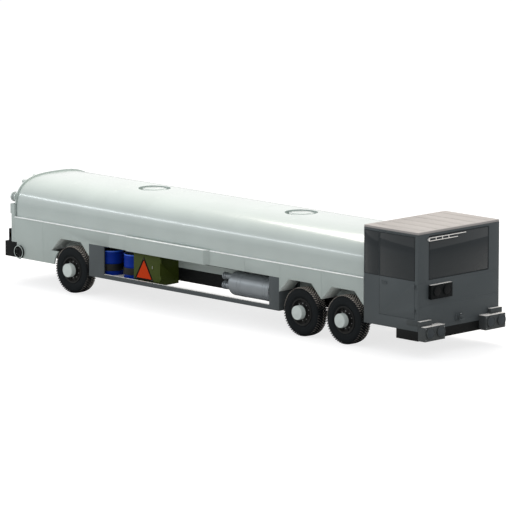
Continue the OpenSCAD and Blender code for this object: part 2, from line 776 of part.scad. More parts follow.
module rear_cabinet() {
    color("#9da7a3") {
        difference() {
            block(back_x, tank_x0, -half_w, half_w, rear_cab_z0, rear_cab_z1);
            both_sides() {
                block(back_x - eps, back_x + rear_door_t + 6, rear_door_in - door_gap,
                    rear_door_out + door_gap, rear_door_z0 - door_gap, rear_door_z1 + door_gap);
                block(back_x - eps, tank_x0 - 12, rear_door_in + rear_wall, rear_door_out - rear_wall,
                    rear_door_z0 + rear_wall, rear_door_z1 - rear_wall);
            }
        }
        block(back_x - hood_out, back_x + eps, -half_w, half_w, hood_z, rear_cab_z1);
        both_sides() for (z = rear_hinge_z)
            translate([back_x - hinge_off, rear_door_out + door_gap / 2, z])
                rotate([0, 0, 90]) hinge_fixed();
    }
}

// a door of the rear cabinet, drawn for the left side
module rear_door() {
    color("#9da7a3") {
        block(back_x, back_x + rear_door_t, rear_door_in, rear_door_out, rear_door_z0, rear_door_z1);
        for (z = rear_hinge_z)
            translate([back_x - hinge_off, rear_door_out + door_gap / 2, z])
                rotate([0, 0, 90]) hinge_moving();
    }
}

module rear_door_right() { on_side(-1) rear_door(); }
module rear_door_left() { on_side(1) rear_door(); }

module rear_bumper() {
    color("#141617") {
        block(back_x - bumper_out, back_x - bumper_out + bumper_t, -half_w, half_w, bumper_z0, bumper_z1);
        both_sides() block(back_x - bumper_out, tank_x0 + bumper_notch, half_w - 60, half_w,
            bumper_z0, bumper_z1);
        both_sides() block(back_x - bumper_out + 1, back_x, rail_outer - rail_w, rail_outer,
            rail_z0 + 40, rail_z1 - 40);
    }
}

module side_couplings() {
    color("#b8bfbc") both_sides() difference() {
        union() {
            rod_y(half_w, half_w + coupling_t, coupling_x, coupling_z, coupling_r);
            block(coupling_x - 40, coupling_x + 40, half_w, half_w + 10, coupling_z - coupling_r - 20,
                coupling_z + coupling_r + 20);
        }
        rod_y(half_w + 12, half_w + coupling_t + eps, coupling_x, coupling_z, coupling_r - 18);
    }
}

module rear_lamps() {
    color("#2a2d2f") both_sides() {
        block(back_x - post_len, back_x, half_w - post_t, half_w, bumper_z1, bumper_z1 + post_h);
        rod_x(tank_x0 - work_lamp_len, tank_x0, work_lamp_y, work_lamp_z, work_lamp_r);
        for (p = ring_lamps) rod_x(tank_x0 - ring_lamp_len, tank_x0, p[0], p[1], ring_lamp_r);
    }
}

module ladder() {
    color("#a9aeb0") {
        both_sides() {
            block(back_x - 95, back_x - 60, 185, 215, rear_cab_z0 + 20, rear_cab_z1 + 420);
            block(back_x - 61, tank_x0, 185, 215, rear_cab_z1 + 60, rear_cab_z1 + 110);
            block(back_x - 61, back_x, 185, 215, rear_cab_z0 + 80, rear_cab_z0 + 130);
        }
        for (i = [0:rung_n - 1])
            rod_y(-186, 186, back_x - 78, rear_cab_z0 + 120 + i * (rear_cab_z1 + 240 - rear_cab_z0) / rung_n,
                14, $fn = 24);
    }
}

// ---------------------------------------------------------------- axles and wheels

module front_axle_at(x) {
    difference() {
        union() {
            both_sides() {
                translate([x, kingpin_y, axle_z - boss_half])
                    cylinder(h = 2 * boss_half, r = boss_r);
                cross_sheet([
                    [0, beam_low], [kingpin_y - 250, beam_low], [kingpin_y - 110, axle_z - 60],
                    [kingpin_y, axle_z - 60], [kingpin_y, axle_z + 50], [kingpin_y - 150, axle_z + 50],
                    [kingpin_y - 270, beam_high], [0, beam_high]
                ], x - 40, x + 40);
            }
        }
        both_sides() translate([x, kingpin_y, axle_z - 2 * boss_half])
            cylinder(h = 4 * boss_half, r = kingpin_r + pin_fit);
    }
    both_sides() {
        block(x - spring_half, x + spring_half, rail_outer - rail_w, rail_outer, beam_high, beam_high + 18);
        block(x - 0.75 * spring_half, x + 0.75 * spring_half, rail_outer - rail_w, rail_outer,
            beam_high + 18, beam_high + 34);
        for (s = [-1, 1])
            block(x + s * (spring_half - 40) - 25, x + s * (spring_half - 40) + 25,
                rail_outer - rail_w + 10, rail_outer - 10, beam_high + 18, rail_z0);
    }
}

module front_axles() {
    color("#202325") for (x = [axle_1_x, axle_2_x]) front_axle_at(x);
}

module rear_axle() {
    color("#202325") {
        rod_y(-wheel_y + 130, wheel_y - 130, axle_3_x, axle_z, 75);
        rod_y(-wheel_y - spindle_end, wheel_y + spindle_end, axle_3_x, axle_z, spindle_r);
        translate([axle_3_x, 0, axle_z]) sphere(r = 165);
        rod_x(axle_3_x, engine_x0, 0, rail_z0 + 130, 45);
        translate([axle_3_x + 100, 0, axle_z]) block(-60, 60, -70, 70, 0, 180);
        both_sides() {
            block(axle_3_x - spring_half, axle_3_x + spring_half, rear_spring_y - 40, rear_spring_y + 40,
                axle_z + 60, axle_z + 90);
            for (s = [-1, 1])
                block(axle_3_x + s * spring_half - 30, axle_3_x + s * spring_half + 30,
                    rail_outer, rear_spring_y + 40, axle_z + 60, axle_z + 180);
        }
    }
}

// A steered stub axle, drawn for the left wheel at station x: a fork over the beam's boss, the
// kingpin through both, and the spindle that carries the wheel.
module knuckle(x) {
    color("#2e3234") translate([x, kingpin_y, axle_z]) {
        translate([0, 0, -boss_half - lug_gap - lug_t])
            cylinder(h = 2 * (boss_half + lug_gap + lug_t), r = kingpin_r);
        for (z = [-boss_half - lug_gap - lug_t, boss_half + lug_gap]) {
            translate([0, 0, z]) cylinder(h = lug_t, r = lug_r);
            block(-lug_r, lug_r, 0, web_out, z, z + lug_t);
        }
        block(-lug_r, lug_r, web_in, web_out, -boss_half - lug_gap - lug_t, boss_half + lug_gap + lug_t);
        rod_y(web_in, kingpin_in + spindle_end, 0, 0, spindle_r);
    }
}

module knuckle_1_right() { on_side(-1) knuckle(axle_1_x); }
module knuckle_1_left() { on_side(1) knuckle(axle_1_x); }
module knuckle_2_right() { on_side(-1) knuckle(axle_2_x); }
module knuckle_2_left() { on_side(1) knuckle(axle_2_x); }

// Wheel pieces are turned about Y; the profiles are drawn as radius and distance outwards from
// the tyre's middle plane.
module wheel_turn(x) {
    translate([x, wheel_y, axle_z]) rotate([-90, 0, 0]) rotate_extrude($fn = 96) children();
}

module tyre(x) {
    h = tyre_w / 2;
    color("#1b1c1c") wheel_turn(x) polygon([
        [bead_r + seam, -h + 38], [bead_r + 22, -h + 36], [bead_r + 48, -h + 18], [bead_r + 100, -h + 3],
        [bead_r + 140, -h], [tyre_r - 60, -h + 5], [tyre_r - 20, -h + 14], [tyre_r - 6, -h + 26],
        [tyre_r, -h + 44],
        [tyre_r, h - 44], [tyre_r - 6, h - 26], [tyre_r - 20, h - 14], [tyre_r - 60, h - 5],
        [bead_r + 140, h], [bead_r + 100, h - 3], [bead_r + 48, h - 18], [bead_r + 22, h - 36],
        [bead_r + seam, h - 38]
    ]);
}

module rim(x) {
    h = tyre_w / 2;
    color("#202223") wheel_turn(x) polygon([
        [bead_r - 18, -h + 16], [bead_r + 18, -h + 16], [bead_r + 18, -h + 34], [bead_r, -h + 38],
        [bead_r, h - 38], [bead_r + 18, h - 34], [bead_r + 18, h - 16], [bead_r - 18, h - 16],
        [bead_r - 18, disc_out], [hub_r, disc_out], [hub_r, hub_face - 12], [hub_r - 12, hub_face],
        [0, hub_face], [0, spindle_end + 2], [spindle_r + pin_fit, spindle_end + 2],
        [spindle_r + pin_fit, hub_in], [110, hub_in], [110, disc_in], [bead_r - 18, disc_in]
    ]);
}

module tyre_1_right() { on_side(-1) tyre(axle_1_x); }
module tyre_1_left() { on_side(1) tyre(axle_1_x); }
module tyre_2_right() { on_side(-1) tyre(axle_2_x); }
module tyre_2_left() { on_side(1) tyre(axle_2_x); }
module tyre_3_right() { on_side(-1) tyre(axle_3_x); }
module tyre_3_left() { on_side(1) tyre(axle_3_x); }
module rim_1_right() { on_side(-1) rim(axle_1_x); }
module rim_1_left() { on_side(1) rim(axle_1_x); }
module rim_2_right() { on_side(-1) rim(axle_2_x); }
module rim_2_left() { on_side(1) rim(axle_2_x); }
module rim_3_right() { on_side(-1) rim(axle_3_x); }
module rim_3_left() { on_side(1) rim(axle_3_x); }

chassis_frame();
front_underframe();
towing_jaw();
cab_shell();
cab_roof();
cab_glass();
door_right();
door_left();
door_glass_right();
door_glass_left();
seats();
dashboard();
steering_wheel();
engine_block();
corner_lamp_boxes();
front_lamp_pod();
wiper();
tank();
manhole_lid_front();
manhole_lid_rear();
tank_bearers();
skirts();
name_boards();
side_frames();
drums();
side_cabinets();
cabinet_door_right();
cabinet_door_left();
filter_vessels();
rear_cabinet();
rear_door_right();
rear_door_left();
rear_bumper();
side_couplings();
rear_lamps();
ladder();
front_axles();
rear_axle();
knuckle_1_right();
knuckle_1_left();
knuckle_2_right();
knuckle_2_left();
tyre_1_right();
tyre_1_left();
tyre_2_right();
tyre_2_left();
tyre_3_right();
tyre_3_left();
rim_1_right();
rim_1_left();
rim_2_right();
rim_2_left();
rim_3_right();
rim_3_left();
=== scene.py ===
# %% [markdown]
# # An airfield tanker truck
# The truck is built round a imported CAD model. The CAD holds every size and joint; this lesson
# gives each piece the surface, edges, fasteners and finish of the real one. Lengths are metres:
# +X is forwards, +Y is left, and the ground is at Z = 0.

# %% Load the frame
import json
import math

import bmesh
import bpy
from mathutils import Matrix, Vector


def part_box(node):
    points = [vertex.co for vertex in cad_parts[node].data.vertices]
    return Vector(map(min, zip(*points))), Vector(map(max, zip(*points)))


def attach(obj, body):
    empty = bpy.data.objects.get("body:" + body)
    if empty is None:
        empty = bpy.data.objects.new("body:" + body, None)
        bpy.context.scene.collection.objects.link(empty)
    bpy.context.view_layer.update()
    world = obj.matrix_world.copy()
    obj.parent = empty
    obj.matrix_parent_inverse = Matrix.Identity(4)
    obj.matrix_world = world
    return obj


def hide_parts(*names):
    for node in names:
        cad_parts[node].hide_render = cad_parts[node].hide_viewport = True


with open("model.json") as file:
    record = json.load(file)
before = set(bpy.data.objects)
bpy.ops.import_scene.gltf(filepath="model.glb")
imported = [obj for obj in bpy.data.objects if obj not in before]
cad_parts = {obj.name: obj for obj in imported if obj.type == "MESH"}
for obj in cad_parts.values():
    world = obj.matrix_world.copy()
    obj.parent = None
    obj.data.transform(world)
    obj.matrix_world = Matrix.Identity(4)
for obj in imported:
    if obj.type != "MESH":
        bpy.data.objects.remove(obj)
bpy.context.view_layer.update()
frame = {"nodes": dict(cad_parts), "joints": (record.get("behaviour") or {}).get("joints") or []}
MM = 0.001
SIDES = {"right": -1, "left": 1}

# %% [markdown]
# ## The camera
# The truck is seen from its right front corner with a long lens, so its sides stay nearly
# parallel. The camera is placed by two angles and a distance from a point inside the tank.

# %% Camera
VIEW_AZIMUTH, VIEW_ELEVATION = math.radians(45.1745), math.radians(9.9918)
VIEW_DISTANCE, LENS = 109.485, 344.13
view_target = Vector((0.2683, 0, 1.3025))
view_back = Vector((math.cos(VIEW_ELEVATION) * math.sin(VIEW_AZIMUTH),
                    -math.cos(VIEW_ELEVATION) * math.cos(VIEW_AZIMUTH),
                    math.sin(VIEW_ELEVATION)))
camera = bpy.data.objects.new("camera", bpy.data.cameras.new("camera"))
bpy.context.scene.collection.objects.link(camera)
camera.data.lens, camera.data.sensor_width = LENS, 36
camera.data.clip_start, camera.data.clip_end = 1, 400
camera.location = view_target + view_back * VIEW_DISTANCE
camera.rotation_mode = "QUATERNION"
camera.rotation_quaternion = (-view_back).to_track_quat("-Z", "Y")
bpy.context.scene.camera = camera
bpy.context.scene.view_settings.view_transform = "Standard"
print("camera", [round(v, 2) for v in camera.location])

# %% [markdown]
# ## Colours and shader nodes
# Paint charts give colours as sRGB hex values, and shaders work on linear light, so one function
# turns one into the other. A second function adds a shader node with its settings and links.

# %% Colour and node helpers
def linear(hex_colour):
    """An sRGB hex colour as linear RGBA."""
    parts = [int(hex_colour[i:i + 2], 16) / 255 for i in (1, 3, 5)]
    return (*[c / 12.92 if c <= 0.04045 else ((c + 0.055) / 1.055) ** 2.4 for c in parts], 1.0)


def add(tree, kind, sockets=None, **settings):
    """Adds a shader node. Each socket gets a value, or another node's output to link."""
    made = tree.nodes.new("ShaderNode" + kind)
    for name, value in settings.items():
        setattr(made, name, value)
    for name, value in (sockets or {}).items():
        if isinstance(value, bpy.types.NodeSocket):
            tree.links.new(value, made.inputs[name])
        else:
            made.inputs[name].default_value = value
    return made


def blank_material(name):
    """A material with an empty tree, its output node and its object coordinates."""
    material = bpy.data.materials.new(name)
    material.use_nodes = True
    tree = material.node_tree
    tree.nodes.clear()
    return material, tree, add(tree, "OutputMaterial"), add(tree, "TexCoord").outputs["Object"]


def noise_scale(size_mm):
    """The scale of a noise texture whose blotches are about that many millimetres across."""
    return 1 / (size_mm * MM)


print("a mid grey is", [round(v, 3) for v in linear("#808080")])

# %% [markdown]
# ## Painted steel
# Nearly everything outside is sprayed enamel over sheet steel. Its colour drifts a little from
# panel to panel, road dust settles near the ground, faces that look up can be made paler as a
# painted top light, and the sprayed film has a fine orange peel, which bends reflections. A clear
# coat on top gives the tank its gloss.

# %% Enamel
def dust_and_top_light(tree, place, low_dust, dust_top, top_light_amount):
    """How much dust and painted top light cover the paint: dust more near the ground, and a painted top
    light on faces that look up.
    """
    height = add(tree, "SeparateXYZ", {0: place}).outputs["Z"]
    low = add(tree, "MapRange", {"Value": height, "From Min": 0.3, "From Max": dust_top,
                                 "To Min": low_dust, "To Max": 0.0})
    # Faces that look up are made paler by the given amount: a painted top light.
    facing = add(tree, "SeparateXYZ", {0: add(tree, "NewGeometry").outputs["Normal"]})
    flat = add(tree, "MapRange", {"Value": facing.outputs["Z"], "From Min": 0.2, "From Max": 0.9,
                                  "To Max": top_light_amount}, interpolation_type="SMOOTHSTEP")
    both = add(tree, "Math", {0: low.outputs[0], 1: flat.outputs[0]}, operation="MAXIMUM")
    speck = add(tree, "TexNoise", {"Vector": place, "Scale": noise_scale(60), "Detail": 6.0,
                                   "Roughness": 0.7})
    patchy = add(tree, "MapRange", {"Value": speck.outputs["Fac"], "From Min": 0.3,
                                    "From Max": 0.7, "To Min": 0.6, "To Max": 1.2})
    return add(tree, "Math", {0: both.outputs[0], 1: patchy.outputs[0]}, operation="MULTIPLY",
               use_clamp=True).outputs[0]


def drifting(tree, place, colour, drift, size_mm):
    """A colour that grows lighter and darker in blotches of that size."""
    blotch = add(tree, "TexNoise", {"Vector": place, "Scale": noise_scale(size_mm), "Detail": 4.0})
    shade = add(tree, "MapRange", {"Value": blotch.outputs["Fac"], "From Min": 0.3,
                                   "From Max": 0.7, "To Min": 1 - drift, "To Max": 1 + drift})
    return add(tree, "VectorMath", {0: linear(colour)[:3], "Scale": shade.outputs[0]},
               operation="SCALE").outputs[0]


def enamel(name, colour, roughness=0.35, coat=0.4, drift=0.04, dust=0.15, dust_top=1.1,
           top_light_amount=0.0, dust_and_light_colour="#7d776e", specular=0.5, peel_mm=9, coat_roughness=0.12):
    """Sprayed paint over sheet steel."""
    material, tree, output, place = blank_material(name)
    cover = dust_and_top_light(tree, place, dust, dust_top, top_light_amount)
    dirty = add(tree, "Mix", {"Factor": cover, 6: drifting(tree, place, colour, drift, 900),
                              7: linear(dust_and_light_colour)}, data_type="RGBA")
    rough = add(tree, "MapRange", {"Value": cover, "From Max": 0.5, "To Min": roughness,
                                   "To Max": min(1, roughness + 0.35)})
    skin = add(tree, "TexNoise", {"Vector": place, "Scale": noise_scale(peel_mm), "Detail": 1.0})
    bump = add(tree, "Bump", {"Height": skin.outputs["Fac"], "Strength": 0.02,
                              "Distance": 0.3 * MM})
    shader = add(tree, "BsdfPrincipled", {
        "Base Color": dirty.outputs[2], "Roughness": rough.outputs[0], "Coat Weight": coat,
        "Coat Roughness": coat_roughness, "Specular IOR Level": specular, "Normal": bump.outputs[0]})
    tree.links.new(shader.outputs[0], output.inputs["Surface"])
    return material


# Gloss enamel, sprayed and clear coated: a pale barrel with soft, broad reflections.
tank_enamel = enamel("tank_enamel_pale_grey_green", "#abb6b2", roughness=0.3, coat=1.0, dust=0.0,
                     coat_roughness=0.15)
# The same paint with hardly any clear coat: flat panels that stay even and matt.
skirt_enamel = enamel("skirt_enamel_pale_grey_green", "#a6b0ac", roughness=0.5, coat=0.1,
                      dust=0.05, specular=0.3)
# Sprayed satin enamel: a dark slate that keeps its tone on every face.
cab_enamel = enamel("cab_enamel_slate", "#4a5052", roughness=0.5, coat=0.0, drift=0.03,
                    dust=0.05, specular=0.2)
# The same paint a shade darker, rubbed dull where crews step.
step_enamel = enamel("step_enamel_dark_slate", "#3d4345", roughness=0.55, coat=0.0, specular=0.2)
# The cab's enamel made warm and pale on the roof: a painted top light for the light falling on top,
# sprayed thin and quite matt.
roof_painted_light = enamel("roof_enamel_warm_grey", "#9e9a97", roughness=0.6, coat=0.0, dust=0,
                     specular=0.2)
# Sprayed chassis enamel: near black, so that edges show only as thin lights.
black_enamel = enamel("chassis_black_enamel", "#0e1112", roughness=0.6, coat=0.0, dust=0.03,
                      specular=0.12)
# Baked wheel enamel: a shade glossier, so the disc and its nuts can be read.
wheel_enamel = enamel("wheel_black_enamel", "#0f1213", roughness=0.5, coat=0.0, dust=0.06,
                      specular=0.2)
# The tank's grey-green made paler on the hubs: painted light that makes up for the arch shade, so each
# hub shows as a pale ring at the middle of the dark wheel.
hub_painted_light = enamel("hub_enamel_pale_grey_green", "#c4cdc9", roughness=0.45, coat=0.1, dust=0.0,
                    specular=0.3)
# The skirt paint made much paler and rough on the lining: painted light that makes up for the shade in
# the wheel arch.
liner_painted_light = enamel("arch_liner_enamel", "#dfe7e3", roughness=0.7, coat=0.0, dust=0.1,
                      specular=0.2)
# Sprayed drum enamel: a deep, saturated blue with hardly any shine.
drum_enamel = enamel("drum_enamel_blue", "#042a88", roughness=0.45, coat=0.0, specular=0.08,
                     dust=0.0)
# A brighter copy of the drum blue on the top rim: a painted highlight where the rim catches the light.
drum_rim_painted_highlight = enamel("drum_rim_enamel_bright_blue", "#2a5fd0", roughness=0.4, coat=0.2,
                         dust=0.0)
# Black sprayed lids and bands: they cut the blue into stripes.
lid_enamel = enamel("drum_lid_enamel_black", "#0f1213", roughness=0.5, coat=0.0, dust=0.06,
                    specular=0.2)
# Flat olive enamel: a quiet green-brown with no highlight.
cabinet_enamel = enamel("cabinet_enamel_olive", "#3c4717", roughness=0.55, coat=0.0,
                        specular=0.15, dust=0.0)
# Screen-printed enamel on a thin plate: the one warm, bright spot of the side.
plate_orange = enamel("plate_enamel_orange_red", "#b83606", roughness=0.5, coat=0.0,
                      specular=0.08, dust=0.0)
# The same plate's printed border: a crisp black line round the orange.
plate_black = enamel("plate_enamel_black", "#060403", roughness=0.6, coat=0.0, specular=0.08,
                     dust=0.0)
print("enamels", len([m for m in bpy.data.materials if "enamel" in m.name]))

# %% [markdown]
# ## Bare metal
# The drip rail, tread plates, vessels and bolts are bare; the rail and the plates are made near
# white, partly as a painted highlight on lit tops and edges. Rolled or brushed metal keeps fine
# lines along the way it was worked, so its noise is stretched that way. Galvanised sheet has
# zinc crystals a few centimetres across instead, which a cell pattern gives.

# %% Brushed, cast and galvanised metal
def brushed(name, colour, roughness, line_mm=2.0, stretch=(1, 40, 40), metallic=1.0):
    """Bare metal with fine lines. stretch is small along the lines and large across them."""
    material, tree, output, place = blank_material(name)
    lines = add(tree, "TexNoise", {"Vector": add(tree, "Mapping", {
        "Vector": place, "Scale": stretch}).outputs[0], "Scale": noise_scale(line_mm) / 40,
        "Detail": 3.0})
    rough = add(tree, "MapRange", {"Value": lines.outputs["Fac"], "To Min": roughness - 0.08,
                                   "To Max": roughness + 0.08})
    bump = add(tree, "Bump", {"Height": lines.outputs["Fac"], "Strength": 0.03,
                              "Distance": 0.2 * MM})
    shader = add(tree, "BsdfPrincipled", {
        "Base Color": drifting(tree, place, colour, 0.05, 250), "Metallic": metallic,
        "Roughness": rough.outputs[0], "Normal": bump.outputs[0]})
    tree.links.new(shader.outputs[0], output.inputs["Surface"])
    return material


def cast(name, colour, roughness=0.6, grain_mm=4, metallic=0.3):
    """Sand-cast iron: a pitted skin that is dull all over."""
    material, tree, output, place = blank_material(name)
    grain = add(tree, "TexNoise", {"Vector": place, "Scale": noise_scale(grain_mm),
                                   "Detail": 5.0})
    bump = add(tree, "Bump", {"Height": grain.outputs["Fac"], "Strength": 0.35,
                              "Distance": 0.8 * MM})
    shader = add(tree, "BsdfPrincipled", {
        "Base Color": drifting(tree, place, colour, 0.15, 120), "Metallic": metallic,
        "Roughness": roughness, "Specular IOR Level": 0.3, "Normal": bump.outputs[0]})
    tree.links.new(shader.outputs[0], output.inputs["Surface"])
    return material


def galvanised(name, light, dark, crystal_mm=25, metallic=0.2):
    """Dipped zinc: flat crystals, each a little lighter or darker than the next."""
    material, tree, output, place = blank_material(name)
    crystals = add(tree, "TexVoronoi", {"Vector": place, "Scale": noise_scale(crystal_mm)})
    level = add(tree, "SeparateColor", {0: crystals.outputs["Color"]}).outputs[0]
    tone = add(tree, "Mix", {"Factor": level, 6: linear(dark), 7: linear(light)},
               data_type="RGBA")
    shader = add(tree, "BsdfPrincipled", {"Base Color": tone.outputs[2], "Metallic": metallic,
                                          "Roughness": 0.5})
    tree.links.new(shader.outputs[0], output.inputs["Surface"])
    return material


# Rolled aluminium made near white: its own bright metal, and a painted highlight for the lit top edge
# along the ledge and the boards.
rail_metal_and_highlight = brushed("drip_rail_rolled_aluminium", "#f2f5f4", 0.4, metallic=0.3)
# Satin stainless steel, ground along its length: long soft streaks of light.
vessel_steel = brushed("vessel_satin_steel", "#858b8f", 0.35, line_mm=4, metallic=0.3)
# Pressed aluminium sheet made near white and not metallic: a pale plate, and on the tops of the step,
# boxes, pod and frame rails a painted top light, with no mirror in it.
pale_plate_and_top_light = brushed("tread_plate_aluminium", "#fbf8f2", 0.45, metallic=0.0)
# Zinc-plated steel: small grey-white points.
bolt_zinc = brushed("bolt_zinc_plate", "#b9bcbc", 0.4, line_mm=1.5, metallic=0.8)
# Turned bare steel: the sharpest glints, on studs and levers.
stud_steel = brushed("stud_bright_steel", "#c8cacb", 0.3, line_mm=1.5)
# Drawn stainless tube: one narrow highlight along each rail and rung.
ladder_steel = brushed("ladder_stainless_tube", "#c4c8c9", 0.32, line_mm=1.5)
# Sand-cast iron: a dark, pitted skin that hardly reflects.
axle_iron = cast("axle_cast_iron", "#24282a")
# The same iron from a coarser mould: a paler grey with larger pits.
engine_iron = cast("engine_cast_iron", "#35393c", grain_mm=6)
# Hot-dipped galvanised sheet with flat crystals, made near white: painted light, so the tray under the
# tank looks bright in spite of its shade.
pale_tray_painted_light = galvanised("tray_galvanised_sheet", "#fbf8f4", "#efece7")
print("bare metals made")

# %% [markdown]
# ## Rubber, glass, plastic and cloth
# Tyre rubber is black with carbon, and where it faces up it is made pale as a painted top light.
# The cab glass is deeply tinted, so it shows little of what is inside and mirrors the sky
# faintly. The dashboard is moulded in a leather grain, and the seats have a woven cover.

# %% Rubber
def rubber(name, colour, dust_and_light_colour="#a59f98", top_light_amount=0.0, low_dust=0.0, roughness=0.8,
           specular=0.15):
    """Moulded rubber. Faces that look up are made paler by the given amount: a painted top light."""
    material, tree, output, place = blank_material(name)
    cover = dust_and_top_light(tree, place, low_dust, 1.3, top_light_amount)
    tone = add(tree, "Mix", {"Factor": cover, 6: drifting(tree, place, colour, 0.1, 60),
                             7: linear(dust_and_light_colour)}, data_type="RGBA")
    grain = add(tree, "TexNoise", {"Vector": place, "Scale": noise_scale(5), "Detail": 4.0})
    bump = add(tree, "Bump", {"Height": grain.outputs["Fac"], "Strength": 0.2,
                              "Distance": 0.5 * MM})
    shader = add(tree, "BsdfPrincipled", {
        "Base Color": tone.outputs[2], "Roughness": roughness, "Specular IOR Level": specular,
        "Normal": bump.outputs[0]})
    tree.links.new(shader.outputs[0], output.inputs["Surface"])
    return material


# Moulded tyre rubber: blue-black and dull, so that the rings show as shade.
sidewall_rubber = rubber("sidewall_rubber", "#14181a")
# The same rubber with a painted top light: the lugs are made pale where they face up.
tread_rubber = rubber("tread_rubber_dusty", "#121618", "#cfc6bc", top_light_amount=1.0)
# Extruded rubber: a dark grey line round doors and panes.
seal_rubber = rubber("seal_rubber", "#2a2e30", roughness=0.7)
# A near-black rubber sleeve on a fixed pipe: painted shade, a dark line put in the bay under the skirt
# where there is shade.
hose_rubber = rubber("hose_rubber", "#0b0d0e", roughness=0.6)
print("rubbers made")

# %% Glass and lamp lenses
def tinted(name, colour, roughness=0.03, clear=0.12, specular=0.5):
    """Tinted sheet glass: a share of the light goes straight through, the rest stops in it."""
    material, tree, output, place = blank_material(name)
    ripple = add(tree, "TexNoise", {"Vector": place, "Scale": noise_scale(700), "Detail": 2.0})
    bump = add(tree, "Bump", {"Height": ripple.outputs["Fac"], "Strength": 0.02,
                              "Distance": 2 * MM})
    pane = add(tree, "BsdfPrincipled", {
        "Base Color": drifting(tree, place, colour, 0.03, 500), "Roughness": roughness,
        "Specular IOR Level": specular, "IOR": 1.52, "Normal": bump.outputs[0]})
    through = add(tree, "BsdfTransparent", {"Color": linear("#9aa0a0")})
    mixed = add(tree, "MixShader", {0: clear, 1: pane.outputs[0], 2: through.outputs[0]})
    tree.links.new(mixed.outputs[0], output.inputs["Surface"])
    return material


def lens(name, colour, rib_mm=8, roughness=0.15, metallic=0.0, specular=0.5):
    """A moulded lamp cover: fine upright ribs that scatter the beam."""
    material, tree, output, place = blank_material(name)
    ribs = add(tree, "TexWave", {"Vector": place, "Scale": noise_scale(rib_mm) / 6.3,
                                 "Distortion": 0.0}, bands_direction="Y")
    bump = add(tree, "Bump", {"Height": ribs.outputs["Fac"], "Strength": 0.5,
                              "Distance": 1.0 * MM})
    shader = add(tree, "BsdfPrincipled", {
        "Base Color": drifting(tree, place, colour, 0.08, 40), "Roughness": roughness,
        "Metallic": metallic, "Specular IOR Level": specular, "Normal": bump.outputs[0]})
    tree.links.new(shader.outputs[0], output.inputs["Surface"])
    return material


# Body-tinted float glass: dark panes, faintly mirrored, with the seats behind.
cab_glass_tint = tinted("cab_glass_dark_tint", "#2a2f31", clear=0.05, specular=0.3)
# Ribbed moulded polycarbonate: a smoky grey disc with fine upright lines.
box_lens = lens("box_lamp_lens_grey", "#3a4043", specular=0.2)
# Smoked polycarbonate: nearly black, with only a soft shine.
pod_lens = lens("pod_lamp_lens_smoked", "#0a0c0d", specular=0.15)
# Red moulded acrylic: a small clear accent at the rear.
red_lens = lens("rear_lamp_lens_red", "#8e120e")
# Amber moulded acrylic: a second, warmer accent beside the red.
amber_lens = lens("rear_lamp_lens_amber", "#c4700c")
# Clear ribbed glass before a reflector: pale and slightly metallic.
clear_lens = lens("work_lamp_lens_clear", "#c9d2d0", metallic=0.4)
print("glass and lenses made")

# %% Moulded plastic and woven cloth
def moulded(name, colour, grain_mm=3.0, roughness=0.55):
    """Plastic from a tool with a leather grain."""
    material, tree, output, place = blank_material(name)
    pebble = add(tree, "TexVoronoi", {"Vector": place, "Scale": noise_scale(grain_mm)},
                 feature="SMOOTH_F1")
    bump = add(tree, "Bump", {"Height": pebble.outputs["Distance"], "Strength": 0.3,
                              "Distance": 0.3 * MM})
    shader = add(tree, "BsdfPrincipled", {
        "Base Color": drifting(tree, place, colour, 0.05, 200), "Roughness": roughness,
        "Normal": bump.outputs[0]})
    tree.links.new(shader.outputs[0], output.inputs["Surface"])
    return material


def woven(name, colour, thread_mm=4.0):
    """A plain weave; the threads are drawn coarser than real ones, so that they show."""
    material, tree, output, place = blank_material(name)
    warp = add(tree, "TexWave", {"Vector": place, "Scale": noise_scale(thread_mm) / 6.3,
                                 "Distortion": 0.4}, bands_direction="Y")
    weft = add(tree, "TexWave", {"Vector": place, "Scale": noise_scale(thread_mm) / 6.3,
                                 "Distortion": 0.4}, bands_direction="DIAGONAL")
    cloth = add(tree, "Math", {0: warp.outputs["Fac"], 1: weft.outputs["Fac"]},
                operation="MULTIPLY")
    bump = add(tree, "Bump", {"Height": cloth.outputs[0], "Strength": 0.5, "Distance": 0.6 * MM})
    shader = add(tree, "BsdfPrincipled", {
        "Base Color": drifting(tree, place, colour, 0.12, 30), "Roughness": 0.9,
        "Sheen Weight": 0.25, "Sheen Roughness": 0.4, "Normal": bump.outputs[0]})
    tree.links.new(shader.outputs[0], output.inputs["Surface"])
    return material


# Grained ABS: a soft charcoal with no gloss.
dash_plastic = moulded("dashboard_moulded_plastic", "#26292b")
# Finer grained ABS: darker, where hands hold it.
grip_plastic = moulded("grip_moulded_plastic", "#17191a", grain_mm=2)
# Plain woven cover cloth: dark, with a faint bloom at grazing angles.
seat_cloth = woven("seat_woven_cloth", "#2c3033")
# Sheet rubber: a flat black floor.
mat_rubber = rubber("floor_mat_rubber", "#1c1e1f", roughness=0.85)
print("materials", len(bpy.data.materials))

# %% [markdown]
# ## Shapes
# Every piece is gathered from small shapes: pressed sheets with eased edges, turned rings, bent
# tubes and bolts. Each helper returns one shape as a bmesh, and a Piece takes shapes in with a
# material each, then becomes one object that rides on a body of the frame.

# %% Sheets, turned rings and tubes
AXIS_ORDER = {"X": (2, 0, 1), "Y": (0, 2, 1), "Z": (0, 1, 2)}


def eased(shape, edge, steps=2, angle=30):
    """Rounds the sharp edges of a shape."""
    sharp = [e for e in shape.edges if e.is_manifold
             and e.calc_face_angle(0) > math.radians(angle)]
    if edge > 0 and sharp:
        bmesh.ops.bevel(shape, geom=sharp, offset=edge, segments=steps, profile=0.5,
                        affect="EDGES", clamp_overlap=True)
    return shape


